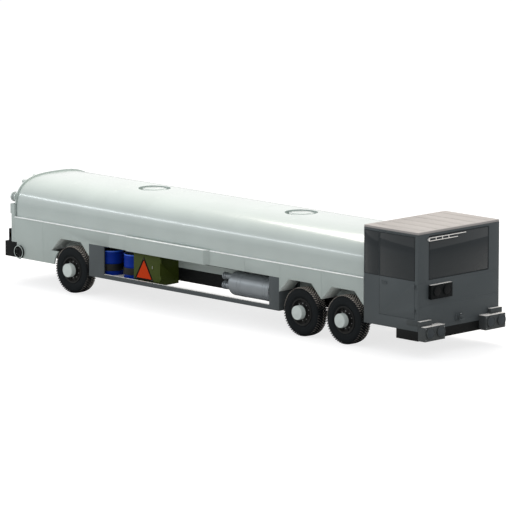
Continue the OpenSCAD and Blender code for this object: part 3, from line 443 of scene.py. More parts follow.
def extruded(outline, axis, start, end, edge=2 * MM, steps=2):
    """A sheet or bar: an outline square to an axis, drawn out along it, with eased edges."""
    order = AXIS_ORDER[axis]
    shape = bmesh.new()
    loops = []
    for along in (start, end):
        loops.append([shape.verts.new([(*p, along)[i] for i in order]) for p in outline])
    count = len(outline)
    for i in range(count):
        shape.faces.new([loops[0][i], loops[0][(i + 1) % count],
                         loops[1][(i + 1) % count], loops[1][i]])
    for loop in loops:
        shape.faces.new(loop)
    bmesh.ops.recalc_face_normals(shape, faces=shape.faces)
    return eased(shape, edge, steps)


def box(low, high, edge=3 * MM, steps=2):
    """A block between two opposite corners, in either order, with eased edges."""
    (x0, x1), (y0, y1), (z0, z1) = [sorted(pair) for pair in zip(low, high)]
    return extruded([(x0, y0), (x1, y0), (x1, y1), (x0, y1)], "Z", z0, z1, edge, steps)


def ring_of(radius, steps, height=0.0, start=0.0):
    return [Vector((radius * math.cos(start + math.tau * i / steps),
                    radius * math.sin(start + math.tau * i / steps), height))
            for i in range(steps)]


def skinned(rings, closed=True, capped=True):
    """Joins rings of points with faces; the ends may be capped."""
    shape = bmesh.new()
    made = [[shape.verts.new(p) for p in ring] for ring in rings]
    count = len(made[0])
    for low, high in zip(made, made[1:]):
        for i in range(count if closed else count - 1):
            shape.faces.new([low[i], low[(i + 1) % count], high[(i + 1) % count], high[i]])
    if capped:
        shape.faces.new(made[0])
        shape.faces.new(made[-1])
    bmesh.ops.recalc_face_normals(shape, faces=shape.faces)
    return shape


def turned(profile, steps=48, capped=True):
    """A shape turned about Z from (radius, height) points."""
    return skinned([ring_of(max(r, 0.01 * MM), steps, h) for r, h in profile], True, capped)


def tube(points, radius, steps=12, closed=False):
    """A round bar along straight stretches, mitred at the corners."""
    points = [Vector(p) for p in points]
    rings, side = [], None
    for i, p in enumerate(points):
        back = points[i - 1] if closed or i > 0 else None
        ahead = points[(i + 1) % len(points)] if closed or i + 1 < len(points) else None
        into = (p - back).normalized() if back is not None else (ahead - p).normalized()
        out = (ahead - p).normalized() if ahead is not None else into
        along = (into + out).normalized()
        if side is None:
            side = into.orthogonal().normalized()
        side = (side - into * side.dot(into)).normalized()
        ring = []
        for k in range(steps):
            spoke = Matrix.Rotation(math.tau * k / steps, 3, into) @ side * radius
            ring.append(p + spoke - into * (spoke.dot(along) / into.dot(along)))
        rings.append(ring)
    if closed:
        rings.append(rings[0])
    shape = skinned(rings, True, not closed)
    if closed:
        bmesh.ops.remove_doubles(shape, verts=shape.verts, dist=0.01 * MM)
    return shape


def rounded(points, radius, steps=5):
    """A route with its corners replaced by arcs, for a bent tube."""
    points = [Vector(p) for p in points]
    route = [points[0]]
    for before, corner, after in zip(points, points[1:], points[2:]):
        a, b = (before - corner).normalized(), (after - corner).normalized()
        cut = radius / math.tan(a.angle(b) / 2)
        start, end = corner + a * cut, corner + b * cut
        route += [start.lerp(corner, t).lerp(corner.lerp(end, t), t)
                  for t in [k / steps for k in range(steps + 1)]]
    return route + [points[-1]]


def facing(place, direction, turn=0.0):
    """A matrix that stands a shape at a place with its Z along a direction."""
    return (Matrix.Translation(place)
            @ Vector(direction).to_track_quat("Z", "Y").to_matrix().to_4x4()
            @ Matrix.Rotation(turn, 4, "Z"))


def bolt(size):
    """A hexagon head on a washer, for a thread of that size. It stands on Z = 0."""
    head = turned([(size, 0), (size, 0.55 * size), (0.86 * size, 0.68 * size), (0, 0.68 * size)],
                  6)
    washer = turned([(1.35 * size, 0), (1.35 * size, 0.16 * size), (0, 0.16 * size)], 14)
    scratch = bpy.data.meshes.new("scratch")
    washer.to_mesh(scratch)
    washer.free()
    head.from_mesh(scratch)
    bpy.data.meshes.remove(scratch)
    return head


def rounded_outline(low, high, radius, steps=4):
    """A rectangle with round corners, as points."""
    (a0, b0), (a1, b1) = low, high
    corners = [(a1 - radius, b1 - radius, 0), (a0 + radius, b1 - radius, 90),
               (a0 + radius, b0 + radius, 180), (a1 - radius, b0 + radius, 270)]
    return [(a + radius * math.cos(math.radians(t + 90 * k / steps)),
             b + radius * math.sin(math.radians(t + 90 * k / steps)))
            for a, b, t in corners for k in range(steps + 1)]


def framed(outer, inner, axis, start, end, edge=1.5 * MM):
    """A flat frame between two outlines with as many points each."""
    order = AXIS_ORDER[axis]
    rings = [[Vector([(*p, along)[i] for i in order]) for p in outline]
             for outline, along in ((outer, start), (outer, end), (inner, end), (inner, start))]
    shape = skinned(rings + rings[:1], True, False)
    bmesh.ops.remove_doubles(shape, verts=shape.verts, dist=0.001 * MM)
    return eased(shape, edge, 1)


print("a bolt has", len(bolt(10 * MM).faces), "faces")

# %% Carving and the piece
def as_object(shape, name="scratch"):
    mesh = bpy.data.meshes.new(name)
    shape.to_mesh(mesh)
    shape.free()
    made = bpy.data.objects.new(name, mesh)
    bpy.context.scene.collection.objects.link(made)
    return made


def carve(shape, *cutters, operation="DIFFERENCE"):
    """Cuts closed shapes out of a closed shape, or joins or keeps what they share."""
    body = as_object(shape)
    for cutter in cutters:
        tool = as_object(cutter)
        cut = body.modifiers.new("cut", "BOOLEAN")
        cut.object, cut.operation, cut.solver = tool, operation, "EXACT"
        mesh = bpy.data.meshes.new_from_object(
            body.evaluated_get(bpy.context.evaluated_depsgraph_get()))
        body.modifiers.clear()
        body.data = mesh
        bpy.data.objects.remove(tool)
    result = bmesh.new()
    result.from_mesh(body.data)
    bpy.data.objects.remove(body)
    return result


class Piece:
    """One object, gathered from small shapes that each have a material."""

    def __init__(self):
        self.mesh, self.materials = bmesh.new(), []

    def put(self, shape, material, at=Matrix()):
        """Takes in a shape, moved by a matrix. The shape is used up."""
        if material not in self.materials:
            self.materials.append(material)
        shape.transform(at)
        if at.determinant() < 0:
            bmesh.ops.reverse_faces(shape, faces=shape.faces)
        for face in shape.faces:
            face.material_index = self.materials.index(material)
        scratch = bpy.data.meshes.new("scratch")
        shape.to_mesh(scratch)
        shape.free()
        self.mesh.from_mesh(scratch)
        bpy.data.meshes.remove(scratch)
        return self

    def bolts(self, places, direction, size, material):
        """The same bolt at each place, heads along the direction."""
        for k, place in enumerate(places):
            self.put(bolt(size), material, facing(place, direction, 0.4 * k))
        return self

    def mirrored(self):
        """Adds the mirror image on the other side of the truck."""
        copy = self.mesh.copy()
        copy.transform(Matrix.Scale(-1, 4, (0, 1, 0)))
        bmesh.ops.reverse_faces(copy, faces=copy.faces)
        scratch = bpy.data.meshes.new("scratch")
        copy.to_mesh(scratch)
        copy.free()
        self.mesh.from_mesh(scratch)
        bpy.data.meshes.remove(scratch)
        return self

    def done(self, name, slot, replaced=(), body="chassis", side=1, smooth=35):
        """Makes the object. side -1 turns it into its mirror image."""
        if side < 0:
            self.mesh.transform(Matrix.Scale(-1, 4, (0, 1, 0)))
            bmesh.ops.reverse_faces(self.mesh, faces=self.mesh.faces)
        mesh = bpy.data.meshes.new(name)
        self.mesh.to_mesh(mesh)
        self.mesh.free()
        for material in self.materials:
            mesh.materials.append(material)
        mesh.shade_smooth()
        mesh.set_sharp_from_angle(angle=math.radians(smooth))
        made = bpy.data.objects.new(name, mesh)
        bpy.context.scene.collection.objects.link(made)
        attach(made, body)
        if replaced:
            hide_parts(*([replaced] if isinstance(replaced, str) else replaced))
        print(f"{name}: {len(mesh.polygons)} faces, rides on {body}")
        return made


def dressed(node, material, edge=2 * MM):
    """Keeps a CAD node as it is, with a real finish and eased edges."""
    part = frame["nodes"][node]
    part.data.materials.clear()
    part.data.materials.append(material)
    weld = part.modifiers.new("weld", "WELD")
    weld.merge_threshold = 0.01 * MM
    ease = part.modifiers.new("ease", "BEVEL")
    ease.width, ease.segments, ease.limit_method = edge, 2, "ANGLE"
    ease.angle_limit = math.radians(40)
    part.data.shade_smooth()
    return part

# %% [markdown]
# ## Copies of the CAD
# Where a CAD piece already has the true form, as the folded cab does, its mesh is copied,
# its triangles are merged back into flat faces and its corners are eased like a pressed edge.

# %% CAD copies and repeated details
def cad_copy(node, edge=3 * MM, angle=40):
    """The CAD mesh as a shape with merged faces and eased edges."""
    shape = bmesh.new()
    shape.from_mesh(frame["nodes"][node].data)
    bmesh.ops.remove_doubles(shape, verts=shape.verts, dist=0.005 * MM)
    bmesh.ops.dissolve_limit(shape, angle_limit=math.radians(1), verts=shape.verts,
                             edges=shape.edges)
    return eased(shape, edge, 2, angle)


def parted(shape, *rules):
    """Splits a shape's faces by rules on their centre and direction, one shape per rule."""
    pieces = []
    for rule in rules:
        copy = shape.copy()
        drop = [f for f in copy.faces if not rule(f.calc_center_median(), f.normal)]
        bmesh.ops.delete(copy, geom=drop, context="FACES")
        pieces.append(copy)
    shape.free()
    return pieces


def lozenges(piece, x0, x1, y0, y1, z, material, pitch=45 * MM, size=26 * MM, high=2.5 * MM):
    """The raised bars of a tread plate, turned one way and the other."""
    across, along = round((x1 - x0) / pitch), round((y1 - y0) / pitch)
    for i in range(across):
        for j in range(along):
            bar = extruded([(-size / 2, 0), (0, -4 * MM), (size / 2, 0), (0, 4 * MM)], "Z", -MM,
                           high, 0)
            piece.put(bar, material, Matrix.Translation((
                x0 + (i + 0.5) * (x1 - x0) / across, y0 + (j + 0.5) * (y1 - y0) / along, z))
                @ Matrix.Rotation(math.radians(45 if (i + j) % 2 else -45), 4, "Z"))


def head_lamp(piece, centre, radius, depth, glass, case, direction=(1, 0, 0)):
    """A round lamp: a case with a rolled bezel, and a lens set back inside it."""
    turn = facing(centre, direction)
    piece.put(turned([(radius * 0.8, 0), (radius * 0.97, 1 * MM), (radius * 0.97, depth * 0.6),
                      (radius, depth * 0.7), (radius, depth * 0.95), (radius * 0.97, depth),
                      (radius * 0.9, depth), (radius * 0.88, depth * 0.8)], 40, False), case, turn)
    dome = [(radius * 0.885, depth * 0.8)]
    dome += [(radius * 0.88 * math.cos(t), depth * (0.8 + 0.16 * math.sin(t)))
             for t in [math.radians(a) for a in (20, 40, 60, 75, 89)]]
    piece.put(turned(dome, 40), glass, turn)


def handle(piece, a, b, out, radius, material):
    """A bent grab rail between two points, standing out by a vector."""
    a, b, out = Vector(a), Vector(b), Vector(out)
    route = rounded([a, a + out, b + out, b], radius * 3)
    piece.put(tube(route, radius, 10), material)
    for foot in (a, b):
        piece.put(turned([(radius * 2, 0), (radius * 2, 3 * MM), (radius, 5 * MM)], 14), material,
                  facing(foot, out))


def gasket(piece, axis, low, high, at, side, width=16 * MM, proud=4 * MM, material=seal_rubber):
    """A rubber profile round a pane whose outer face is at a station along an axis."""
    outer = rounded_outline(low, high, 30 * MM)
    inner = rounded_outline((low[0] + width, low[1] + width), (high[0] - width, high[1] - width),
                            20 * MM)
    piece.put(framed(outer, inner, axis, at - side * MM, at + side * proud, 1 * MM), material)


print("tread plate, lamps, rails and gaskets ready")

# %% [markdown]
# ## The cab
# The cab is folded from flat sheet with narrow corner radii. Rubber fills the door gaps and
# holds the panes. The roof is a separate pressing with drainage grooves. Handles and grab
# rails are bolted on, so they are separate shapes.

# %% Cab shell, roof and glass
cab_low, cab_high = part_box("cab_shell")
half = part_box("tyre_1_left")[1].y + 25 * MM
cab_front, cab_rear = cab_high.x, cab_low.x
door_low, door_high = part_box("door_left")
pane_low, pane_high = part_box("door_glass_left")
DOOR_GAP, PANE_GAP = 7 * MM, 17 * MM

cab = Piece()
cab.put(cad_copy("cab_shell", 6 * MM), cab_enamel)
for s in (-1, 1):
    y = s * half
    low = (door_low.x - DOOR_GAP, door_low.z - DOOR_GAP)
    high = (pane_high.x + DOOR_GAP, door_high.z + DOOR_GAP)
    cab.put(framed(rounded_outline(low, high, 2 * MM, 2),
                   rounded_outline((low[0] + 4 * MM, low[1] + 4 * MM),
                                   (high[0] - 4 * MM, high[1] - 4 * MM), 2 * MM, 2),
                   "Y", y - s * 30 * MM, y - s * 4 * MM, 0), seal_rubber)
    gasket(cab, "Y", (cab_rear + 10 * MM, pane_low.z), (door_low.x - PANE_GAP, pane_high.z), y, s,
           proud=2 * MM)
gasket(cab, "X", (-0.945, pane_low.z), (0.945, pane_high.z), cab_front, 1, 22 * MM)
for z in (0.66, 1.12, 1.62):
    cab.put(box((cab_front - 2 * MM, -half + 8 * MM, z - 5 * MM),
                (cab_front + 3 * MM, half - 8 * MM, z + 5 * MM), 2 * MM), cab_enamel)
cab.done("cab_body", "cab_paint", "cab_shell")

roof = Piece()
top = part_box("cab_roof")[1].z
grooves = [box((cab_rear + 0.08, y - 12 * MM, top - 4 * MM),
               (cab_front - 0.08, y + 12 * MM, top + 20 * MM), 0)
           for y in (-1.0, -0.6, -0.2, 0.2, 0.6, 1.0)]
# The roof's pale paint is a painted top light.
roof.put(carve(cad_copy("cab_roof", 8 * MM), *grooves), roof_painted_light)
for s in (-1, 1):
    roof.put(box((cab_rear + 5 * MM, s * half - 6 * MM - s * 8 * MM, 2.668),
                 (cab_front - 5 * MM, s * half + 6 * MM, 2.674), 2 * MM), seal_rubber)
roof.done("cab_roof_panel", "cab_paint", "cab_roof")
dressed("cab_glass", cab_glass_tint, 1 * MM)

# %% Doors
for side, s in SIDES.items():
    door = Piece()
    door.put(cad_copy(f"door_{side}", 4 * MM), cab_enamel)
    y = s * half
    gasket(door, "Y", (door_low.x + 2 * MM, pane_low.z), (pane_high.x - 2 * MM, pane_high.z), y, s,
           proud=2 * MM)
    door.put(framed(rounded_outline((door_low.x + 70 * MM, 1.50), (door_low.x + 230 * MM, 1.58),
                                    20 * MM),
                    rounded_outline((door_low.x + 80 * MM, 1.51), (door_low.x + 220 * MM, 1.57),
                                    14 * MM), "Y", y - s * MM, y + s * 4 * MM), cab_enamel)
    door.put(extruded(rounded_outline((door_low.x + 95 * MM, 1.528), (door_low.x + 215 * MM, 1.552),
                                      10 * MM), "Y", y, y + s * 16 * MM), cab_enamel)
    inner = s * door_low.y
    card = inner - s * 12 * MM
    door.put(box((door_low.x + 60 * MM, inner, 0.92), (6.30, card, 1.60), 5 * MM), dash_plastic)
    handle(door, (door_low.x + 0.2, card, 1.45), (6.15, card, 1.45), (0, -s * 40 * MM, 0),
           11 * MM, grip_plastic)
    door.done(f"cab_door_{side}", "cab_paint", f"door_{side}", f"door_{side}_body")
    dressed(f"door_glass_{side}", cab_glass_tint, 1 * MM)

# %% Lamp boxes, pod, wiper and towing jaw
corner = Piece()
x1, w1 = cab_front + 0.21, half - 0.635
corner.put(box((cab_front + MM, w1, 0.385), (x1, half, 0.70), 10 * MM, 3), step_enamel)
corner.put(box((cab_front + MM, half - 0.345, 0.70), (cab_front + 0.09, half + 15 * MM, 0.813),
               6 * MM), step_enamel)
corner.put(box((cab_front - 0.316, half + MM, 0.705), (cab_front + MM, half + 15 * MM, 0.813),
               4 * MM), step_enamel)
# The near-white plates on the box and step tops are a painted top light.
corner.put(box((cab_front + 4 * MM, w1 + 6 * MM, 0.699), (x1 - 6 * MM, half - 0.349, 0.7035),
               1 * MM), pale_plate_and_top_light)
corner.put(box((cab_front + 94 * MM, half - 0.349, 0.699), (x1 - 6 * MM, half - 6 * MM, 0.7035),
               1 * MM), pale_plate_and_top_light)
corner.put(box((cab_front + 3 * MM, half - 0.340, 0.811),
               (cab_front + 86 * MM, half + 11 * MM, 0.8145), 1 * MM), pale_plate_and_top_light)
lozenges(corner, cab_front + 0.1, x1 - 0.01, w1 + 0.01, half - 0.01, 0.7035, pale_plate_and_top_light)
for dy in (-0.165, 0.165):
    head_lamp(corner, (x1 - MM, half - 0.3175 + dy, 0.5645), 0.12, 0.041, box_lens, step_enamel)
corner.bolts([(x1, y, z) for y in (w1 + 0.03, half - 0.03) for z in (0.42, 0.66)], (1, 0, 0),
             7 * MM, bolt_zinc)
corner.mirrored().done("lamp_boxes", "cab_paint", "corner_lamp_boxes")

pod = Piece()
p0, p1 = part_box("front_lamp_pod")
pod.put(box((cab_front + MM, p0.y, p0.z), (cab_front + 0.09, p1.y, p1.z - 4 * MM), 12 * MM, 3),
        black_enamel)
# The near-white plate on the pod's top is a painted top light.
pod.put(box((cab_front + 8 * MM, p0.y + 12 * MM, p1.z - 5 * MM),
            (cab_front + 80 * MM, p1.y - 12 * MM, p1.z), 1 * MM), pale_plate_and_top_light)
for dy in (-0.155, 0.155):
    head_lamp(pod, (cab_front + 0.089, (p0.y + p1.y) / 2 + dy, p0.z + 0.1675), 0.115, 0.026,
              pod_lens, black_enamel)
pod.put(box((cab_front + 0.088, p0.y + 0.01, p0.z + 0.012),
            (cab_front + 0.094, p1.y - 0.01, p0.z + 0.022), 1 * MM), black_enamel)
pod.done("lamp_pod", "black_steel", "front_lamp_pod")

wipe = Piece()
wipe.put(cad_copy("wiper", 2 * MM), pale_plate_and_top_light)
for y in (-0.75, -0.55, -0.35):
    wipe.put(box((cab_front + 24 * MM, y - 8 * MM, 2.513),
                 (cab_front + 31 * MM, y + 8 * MM, 2.587), 1 * MM), pale_plate_and_top_light)
wipe.put(box((cab_front + 8 * MM, -0.9, 2.514), (cab_front + 22 * MM, -0.12, 2.521), 1 * MM),
         seal_rubber)
wipe.put(turned([(22 * MM, 0), (22 * MM, 6 * MM), (12 * MM, 14 * MM), (0, 14 * MM)], 24),
         bolt_zinc, facing((cab_front, -0.97, 2.545), (1, 0, 0)))
wipe.done("wiper_parked", "bright_steel", "wiper")

jaw = Piece()
jaw.put(cad_copy("towing_jaw", 4 * MM), cab_enamel)
j0, j1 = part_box("towing_jaw")
jaw.put(turned([(20 * MM, 0), (20 * MM, 4 * MM), (16 * MM, 8 * MM)], 24), stud_steel,
        facing(((j0.x + j1.x) / 2 + 0.01, 0, j1.z - 8 * MM), (0, 0, 1)))
jaw.bolts([(cab_front + 10 * MM, y, z) for y in (-0.09, 0.09) for z in (0.69, 0.81)], (1, 0, 0),
          8 * MM, bolt_zinc)
jaw.done("towing_jaw_cast", "cab_paint", "towing_jaw")

# %% [markdown]
# ## The tank
# The barrel is rolled from plate into a box with very round corners, so its section is a
# superellipse, lofted from end to end. The heads are pressed with a small knuckle radius, and
# weld beads mark the plate joins. Two round wells in the crown hold the manholes.

# %% Tank barrel
tank_low, tank_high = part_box("tank")
TANK_X0, TANK_X1, TANK_FLOOR = tank_low.x, tank_high.x, tank_low.z
# The section: its widest level, its reach up, down and to the side, and its squareness.
MIDDLE_Z, UP, DOWN, SIDE, POWER = 1.68, 0.788, 0.6, 1.2315, 2.95


def tank_ring(x, grow=0.0, lowest=TANK_FLOOR, steps=96):
    """Points round the tank's section, from its lower left corner over the crown."""
    ring = []
    if lowest < MIDDLE_Z:
        start = -math.asin(min(1, ((MIDDLE_Z - lowest) / DOWN) ** (POWER / 2)))
    else:
        start = math.asin(((lowest - MIDDLE_Z) / UP) ** (POWER / 2))
    for i in range(steps + 1):
        t = start + (math.pi - 2 * start) * i / steps
        c, s = math.cos(t), math.sin(t)
        y = math.copysign(abs(c) ** (2 / POWER), c) * (SIDE + grow)
        z = MIDDLE_Z + math.copysign(abs(s) ** (2 / POWER), s) * ((UP if s > 0 else DOWN) + grow)
        ring.append(Vector((x, y, max(z, lowest) if lowest < MIDDLE_Z else z)))
    return ring


def tank_band(x0, x1, grow, inner, lowest):
    """A band round the tank between two stations, closed on its inside."""
    loops = [tank_ring(x0, inner, lowest), tank_ring(x0, grow - 2 * MM, lowest),
             tank_ring(x0 + 2 * MM, grow, lowest), tank_ring(x1 - 2 * MM, grow, lowest),
             tank_ring(x1, grow - 2 * MM, lowest), tank_ring(x1, inner, lowest)]
    shape = skinned(loops + loops[:1], False, False)
    bmesh.ops.remove_doubles(shape, verts=shape.verts, dist=0.001 * MM)
    bmesh.ops.holes_fill(shape, edges=[e for e in shape.edges if e.is_boundary])
    bmesh.ops.recalc_face_normals(shape, faces=shape.faces)
    return shape


# The pressed heads: how far in from the end, and how much the section shrinks there.
stations = [(0, -0.06), (0.004, -0.035), (0.016, -0.014), (0.04, -0.003), (0.07, 0.0)]
loops = [tank_ring(TANK_X0 + d, g) for d, g in stations]
loops += [tank_ring(TANK_X0 + 0.07 + (TANK_X1 - TANK_X0 - 0.14) * k / 12) for k in range(1, 12)]
loops += [tank_ring(TANK_X1 - d, g) for d, g in reversed(stations)]
barrel = skinned(loops)
wells = [turned([(0.37, 2.4), (0.37, 2.7)], 96) for _ in range(2)]
WELL_X = [(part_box(f"manhole_lid_{n}")[0].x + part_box(f"manhole_lid_{n}")[1].x) / 2 + 22 * MM
          for n in ("front", "rear")]
for well, x in zip(wells, WELL_X):
    well.transform(Matrix.Translation((x, 0, 0)))
tank = Piece()
tank.put(carve(barrel, *wells), tank_enamel)
for k in range(1, 8):
    x = TANK_X0 + k * (TANK_X1 - TANK_X0) / 8
    tank.put(tank_band(x - 5 * MM, x + 5 * MM, 1.2 * MM, -4 * MM, 1.3), tank_enamel)
tank.put(tank_band(TANK_X0, TANK_X0 + 25 * MM, 30 * MM, -30 * MM, 1.852), tank_enamel)
for x in WELL_X:
    tank.put(turned([(0.374, 2.40), (0.374, 2.456), (0.382, 2.460), (0.39, 2.456), (0.39, 2.44)],
                    96, False), tank_enamel, Matrix.Translation((x, 0, 0)))
    tank.put(turned([(0.26, 2.398), (0.26, 2.4235), (0.255, 2.4248), (0.2, 2.4248)], 64, True),
             tank_enamel, Matrix.Translation((x, 0, 0)))
    tank.bolts([(x + 0.315 * math.cos(t), 0.315 * math.sin(t), 2.4) for t in
                [math.radians(25 + 20 * k) for k in range(17) if k not in (7, 8)]],
               (0, 0, 1), 9 * MM, bolt_zinc)
    hinge = x - 0.26 - 0.045
    for s in (-1, 1):
        tank.put(box((hinge - 20 * MM, s * 62 * MM - 14 * MM, 2.4),
                     (hinge + 20 * MM, s * 62 * MM + 14 * MM, 2.449), 4 * MM), tank_enamel)
tank.done("tank_barrel", "tank_paint", "tank", smooth=28)

# %% Manhole lids
LID_TOP = 2.4493
for name, x in zip(("front", "rear"), WELL_X):
    lid = Piece()
    lid.put(cad_copy(f"manhole_lid_{name}", 2 * MM), tank_enamel)
    lid.bolts([(x + 0.246 * math.cos(t), 0.246 * math.sin(t), LID_TOP) for t in
               [math.tau * (k + 0.5) / 16 for k in range(16)]], (0, 0, 1), 7 * MM, bolt_zinc)
    handle(lid, (x + 0.1, -0.06, LID_TOP), (x + 0.1, 0.06, LID_TOP), (0, 0, 10 * MM), 3 * MM,
           stud_steel)
    lid.done(f"manhole_{name}", "tank_paint", f"manhole_lid_{name}", f"manhole_{name}_body")

# %% [markdown]
# ## Skirts and side frames
# The skirts are sheet panels hung from the tank's ledge and butted with narrow seams. A rolled
# aluminium drip rail covers the joint along the ledge. The side frames are welded box section,
# and a galvanised tray behind them carries the drums.

# %% Skirts, drip rail and boards
LEDGE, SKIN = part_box("skirts")[1].z, 45 * MM
skirt = Piece()
sheet = cad_copy("skirts", 2 * MM)
seams = [box((x - 2.5 * MM, s * half - 6 * MM, 0.4),
             (x + 2.5 * MM, s * half + 6 * MM, LEDGE + 0.1), 0)
         for s in (-1, 1) for x in (-5.4, -3.2, -0.4, 1.2, 2.3, 3.565)]
outside, lining = parted(
    carve(sheet, *seams),
    lambda c, n: abs(c.y) > half - SKIN - 2 * MM,
    lambda c, n: abs(c.y) <= half - SKIN - 2 * MM)
skirt.put(outside, skirt_enamel)
# The lining's pale paint is painted light against the shade in the arches.
skirt.put(lining, liner_painted_light)
for s in (-1, 1):
    y = s * half
    for x0, x1 in ((TANK_X0, -2.6155), (0.0855, TANK_X1)):
        # The near-white rail is partly a painted highlight along the lit ledge.
        skirt.put(extruded([(y - s * 40 * MM, LEDGE - MM), (y - s * 40 * MM, LEDGE + 10 * MM),
                            (y - s * 4 * MM, LEDGE + 8 * MM), (y + s * 9 * MM, LEDGE + 3 * MM),
                            (y + s * 9 * MM, LEDGE - 12 * MM), (y + s * MM, LEDGE - 12 * MM),
                            (y + s * MM, LEDGE - MM)], "X", x0 + 3 * MM, x1 - 3 * MM, 1.5 * MM),
                  rail_metal_and_highlight)
    skirt.bolts([(x, y, z) for z in (1.29, 1.5) for x in
                 (-6.2, -5.5, -5.3, -4.0, -3.3, -3.1, 0.5, 1.1, 1.3, 2.2, 2.4, 3.0, 3.465, 3.665,
                  4.3, 4.75)], (0, s, 0), 6 * MM, skirt_enamel)
skirt.done("skirt_panels", "tank_paint", "skirts")

board_low, board_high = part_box("name_boards")
board = Piece()
x0, x1, z0, z1, out = board_low.x, board_high.x, board_low.z, board_high.z, board_high.y
out -= 5 * MM
plan = [(x0, half + MM), (x0 + 0.09, out), (x1 - 0.09, out), (x1, half + MM)]
board.put(extruded(plan, "Z", z0, z1 - 6 * MM, 4 * MM, 3), skirt_enamel)
# The near-white strip on the board's top is a painted highlight.
board.put(extruded([(x + (0.004 if x < -1 else -0.004), y - (0.004 if y == out else 0))
                    for x, y in plan], "Z", z1 - 7 * MM, z1, 1 * MM), rail_metal_and_highlight)
board.put(framed(rounded_outline((x0 + 0.115, z0 + 25 * MM), (x1 - 0.115, z1 - 28 * MM),
                                 25 * MM),
                 rounded_outline((x0 + 0.130, z0 + 40 * MM), (x1 - 0.130, z1 - 43 * MM),
                                 15 * MM), "Y", out - 2 * MM, out + 1.0 * MM, 0.5 * MM),
          skirt_enamel)
board.bolts([(x, out - 0.5 * MM, z) for x in (x0 + 0.18, (x0 + x1) / 2, x1 - 0.18)
             for z in (z0 + 0.055, z1 - 0.055)], (0, 1, 0), 5 * MM, skirt_enamel)
board.mirrored().done("side_boards", "tank_paint", "name_boards")

# %% Side frames and drum tray
frame_low, frame_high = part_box("side_frames")
side_frame = Piece()
bars, trays = parted(
    cad_copy("side_frames", 3 * MM),
    lambda c, n: not (abs(c.y) < half - 40 * MM - MM and 0.52 < c.z < 0.56),
    lambda c, n: abs(c.y) < half - 40 * MM - MM and 0.52 < c.z < 0.56)
side_frame.put(bars, cab_enamel)
# The near-white tray is painted light against the shade under the tank.
side_frame.put(trays, pale_tray_painted_light)
for s in (-1, 1):
    y = s * half
    # The drum tray is near white too: painted light.
    side_frame.put(box((frame_low.x + 0.03, s * 0.9 - 0.27, 0.5495),
                       (-2.40, s * 0.9 + 0.27, 0.552), 1 * MM), pale_tray_painted_light)
    # The near-white strip on the frame rail's top is a painted top light.
    side_frame.put(box((frame_low.x + 0.5, y - s * 39 * MM, 0.584),
                       (frame_high.x - 0.315, y - s * 3 * MM, 0.5885), 1 * MM), pale_plate_and_top_light)
    for x in (-1.45, 0.05):
        side_frame.put(box((x - 3 * MM, y - s * 30 * MM, 0.49),
                           (x + 3 * MM, y + s * 0.8 * MM, 0.58), 1 * MM), cab_enamel)
    side_frame.bolts([(x, y, z) for z in (0.53, 0.8, 1.15) for x in
                      (frame_low.x + 0.05, frame_low.x + 0.44, frame_high.x - 0.26,
                       frame_high.x - 0.05)], (0, s, 0), 7 * MM, cab_enamel)
    side_frame.put(box((-1.52, s * 1.05 - 0.05, 1.206), (2.2, s * 1.05 + 0.05, 1.2285), 2 * MM),
                   skirt_enamel)
    # The near-black pipe in the bay is painted shade under the skirt.
    side_frame.put(tube([(x, s * 0.80, 1.12) for x in (-1.4, 0.2, 2.2)], 20 * MM, 14),
                   hose_rubber)
side_frame.done("side_frame_bars", "cab_paint", "side_frames")

# %% [markdown]
# ## Drums, cabinets and filter vessels
# The drums are rolled sheet with hoops pressed outwards and a rim seamed over the lid. The
# cabinets are folded boxes with a lever latch. Each filter vessel is a welded cylinder with a
# bolted head, strapped into a cradle.

# %% Drums
DRUM_R, DRUM_H = 285 * MM, 565 * MM
drum_low, drum_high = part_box("drums")


def hoop(height, reach=5 * MM, width=22 * MM):
    """Profile points of a rolled hoop, from below it to above it."""
    return [(DRUM_R - 8 * MM + reach * math.sin(math.pi * k / 6),
             height + width * (k / 6 - 0.5)) for k in range(7)]


drums = Piece()
for k in (0, 1):
    at = Matrix.Translation((drum_low.x + DRUM_R + k * 0.8, drum_high.y - DRUM_R, drum_low.z))
    profile = [(0, 0), (DRUM_R - 12 * MM, 0), (DRUM_R - 2 * MM, 3 * MM), (DRUM_R, 9 * MM),
               (DRUM_R, 16 * MM), (DRUM_R - 8 * MM, 26 * MM)]
    profile += hoop(0.08) + hoop(0.29) + hoop(0.47)
    profile += [(DRUM_R - 8 * MM, DRUM_H - 30 * MM)]
    drums.put(turned(profile, 72, False), drum_enamel, at)
    # The top rim is a painted highlight in a brighter blue.
    drums.put(turned([(DRUM_R - 8 * MM, DRUM_H - 30 * MM), (DRUM_R, DRUM_H - 20 * MM),
                      (DRUM_R, DRUM_H - 6 * MM), (DRUM_R - 4 * MM, DRUM_H),
                      (DRUM_R - 12 * MM, DRUM_H), (DRUM_R - 16 * MM, DRUM_H - 6 * MM),
                      (DRUM_R - 16 * MM, DRUM_H - 22 * MM)], 72, False), drum_rim_painted_highlight, at)
    drums.put(turned([(DRUM_R - 16 * MM, DRUM_H - 22 * MM), (DRUM_R - 60 * MM, DRUM_H - 19 * MM),
                      (DRUM_R - 70 * MM, DRUM_H - 22 * MM), (0, DRUM_H - 20 * MM)], 72, False),
              lid_enamel, at)
    drums.put(turned([(DRUM_R - 9 * MM, 0.10), (DRUM_R + 6 * MM, 0.102), (DRUM_R + 9 * MM, 0.11),
                      (DRUM_R + 9 * MM, 0.25), (DRUM_R + 6 * MM, 0.258), (DRUM_R - 9 * MM, 0.26)],
                     72, False), lid_enamel, at)
    for a, r in ((0.6, 0.035), (3.7, 0.022)):
        drums.put(turned([(r, 0), (r, 8 * MM), (r * 0.8, 11 * MM), (0, 11 * MM)], 20), bolt_zinc,
                  at @ Matrix.Translation((0.2 * math.cos(a), 0.2 * math.sin(a),
                                           DRUM_H - 21 * MM)))
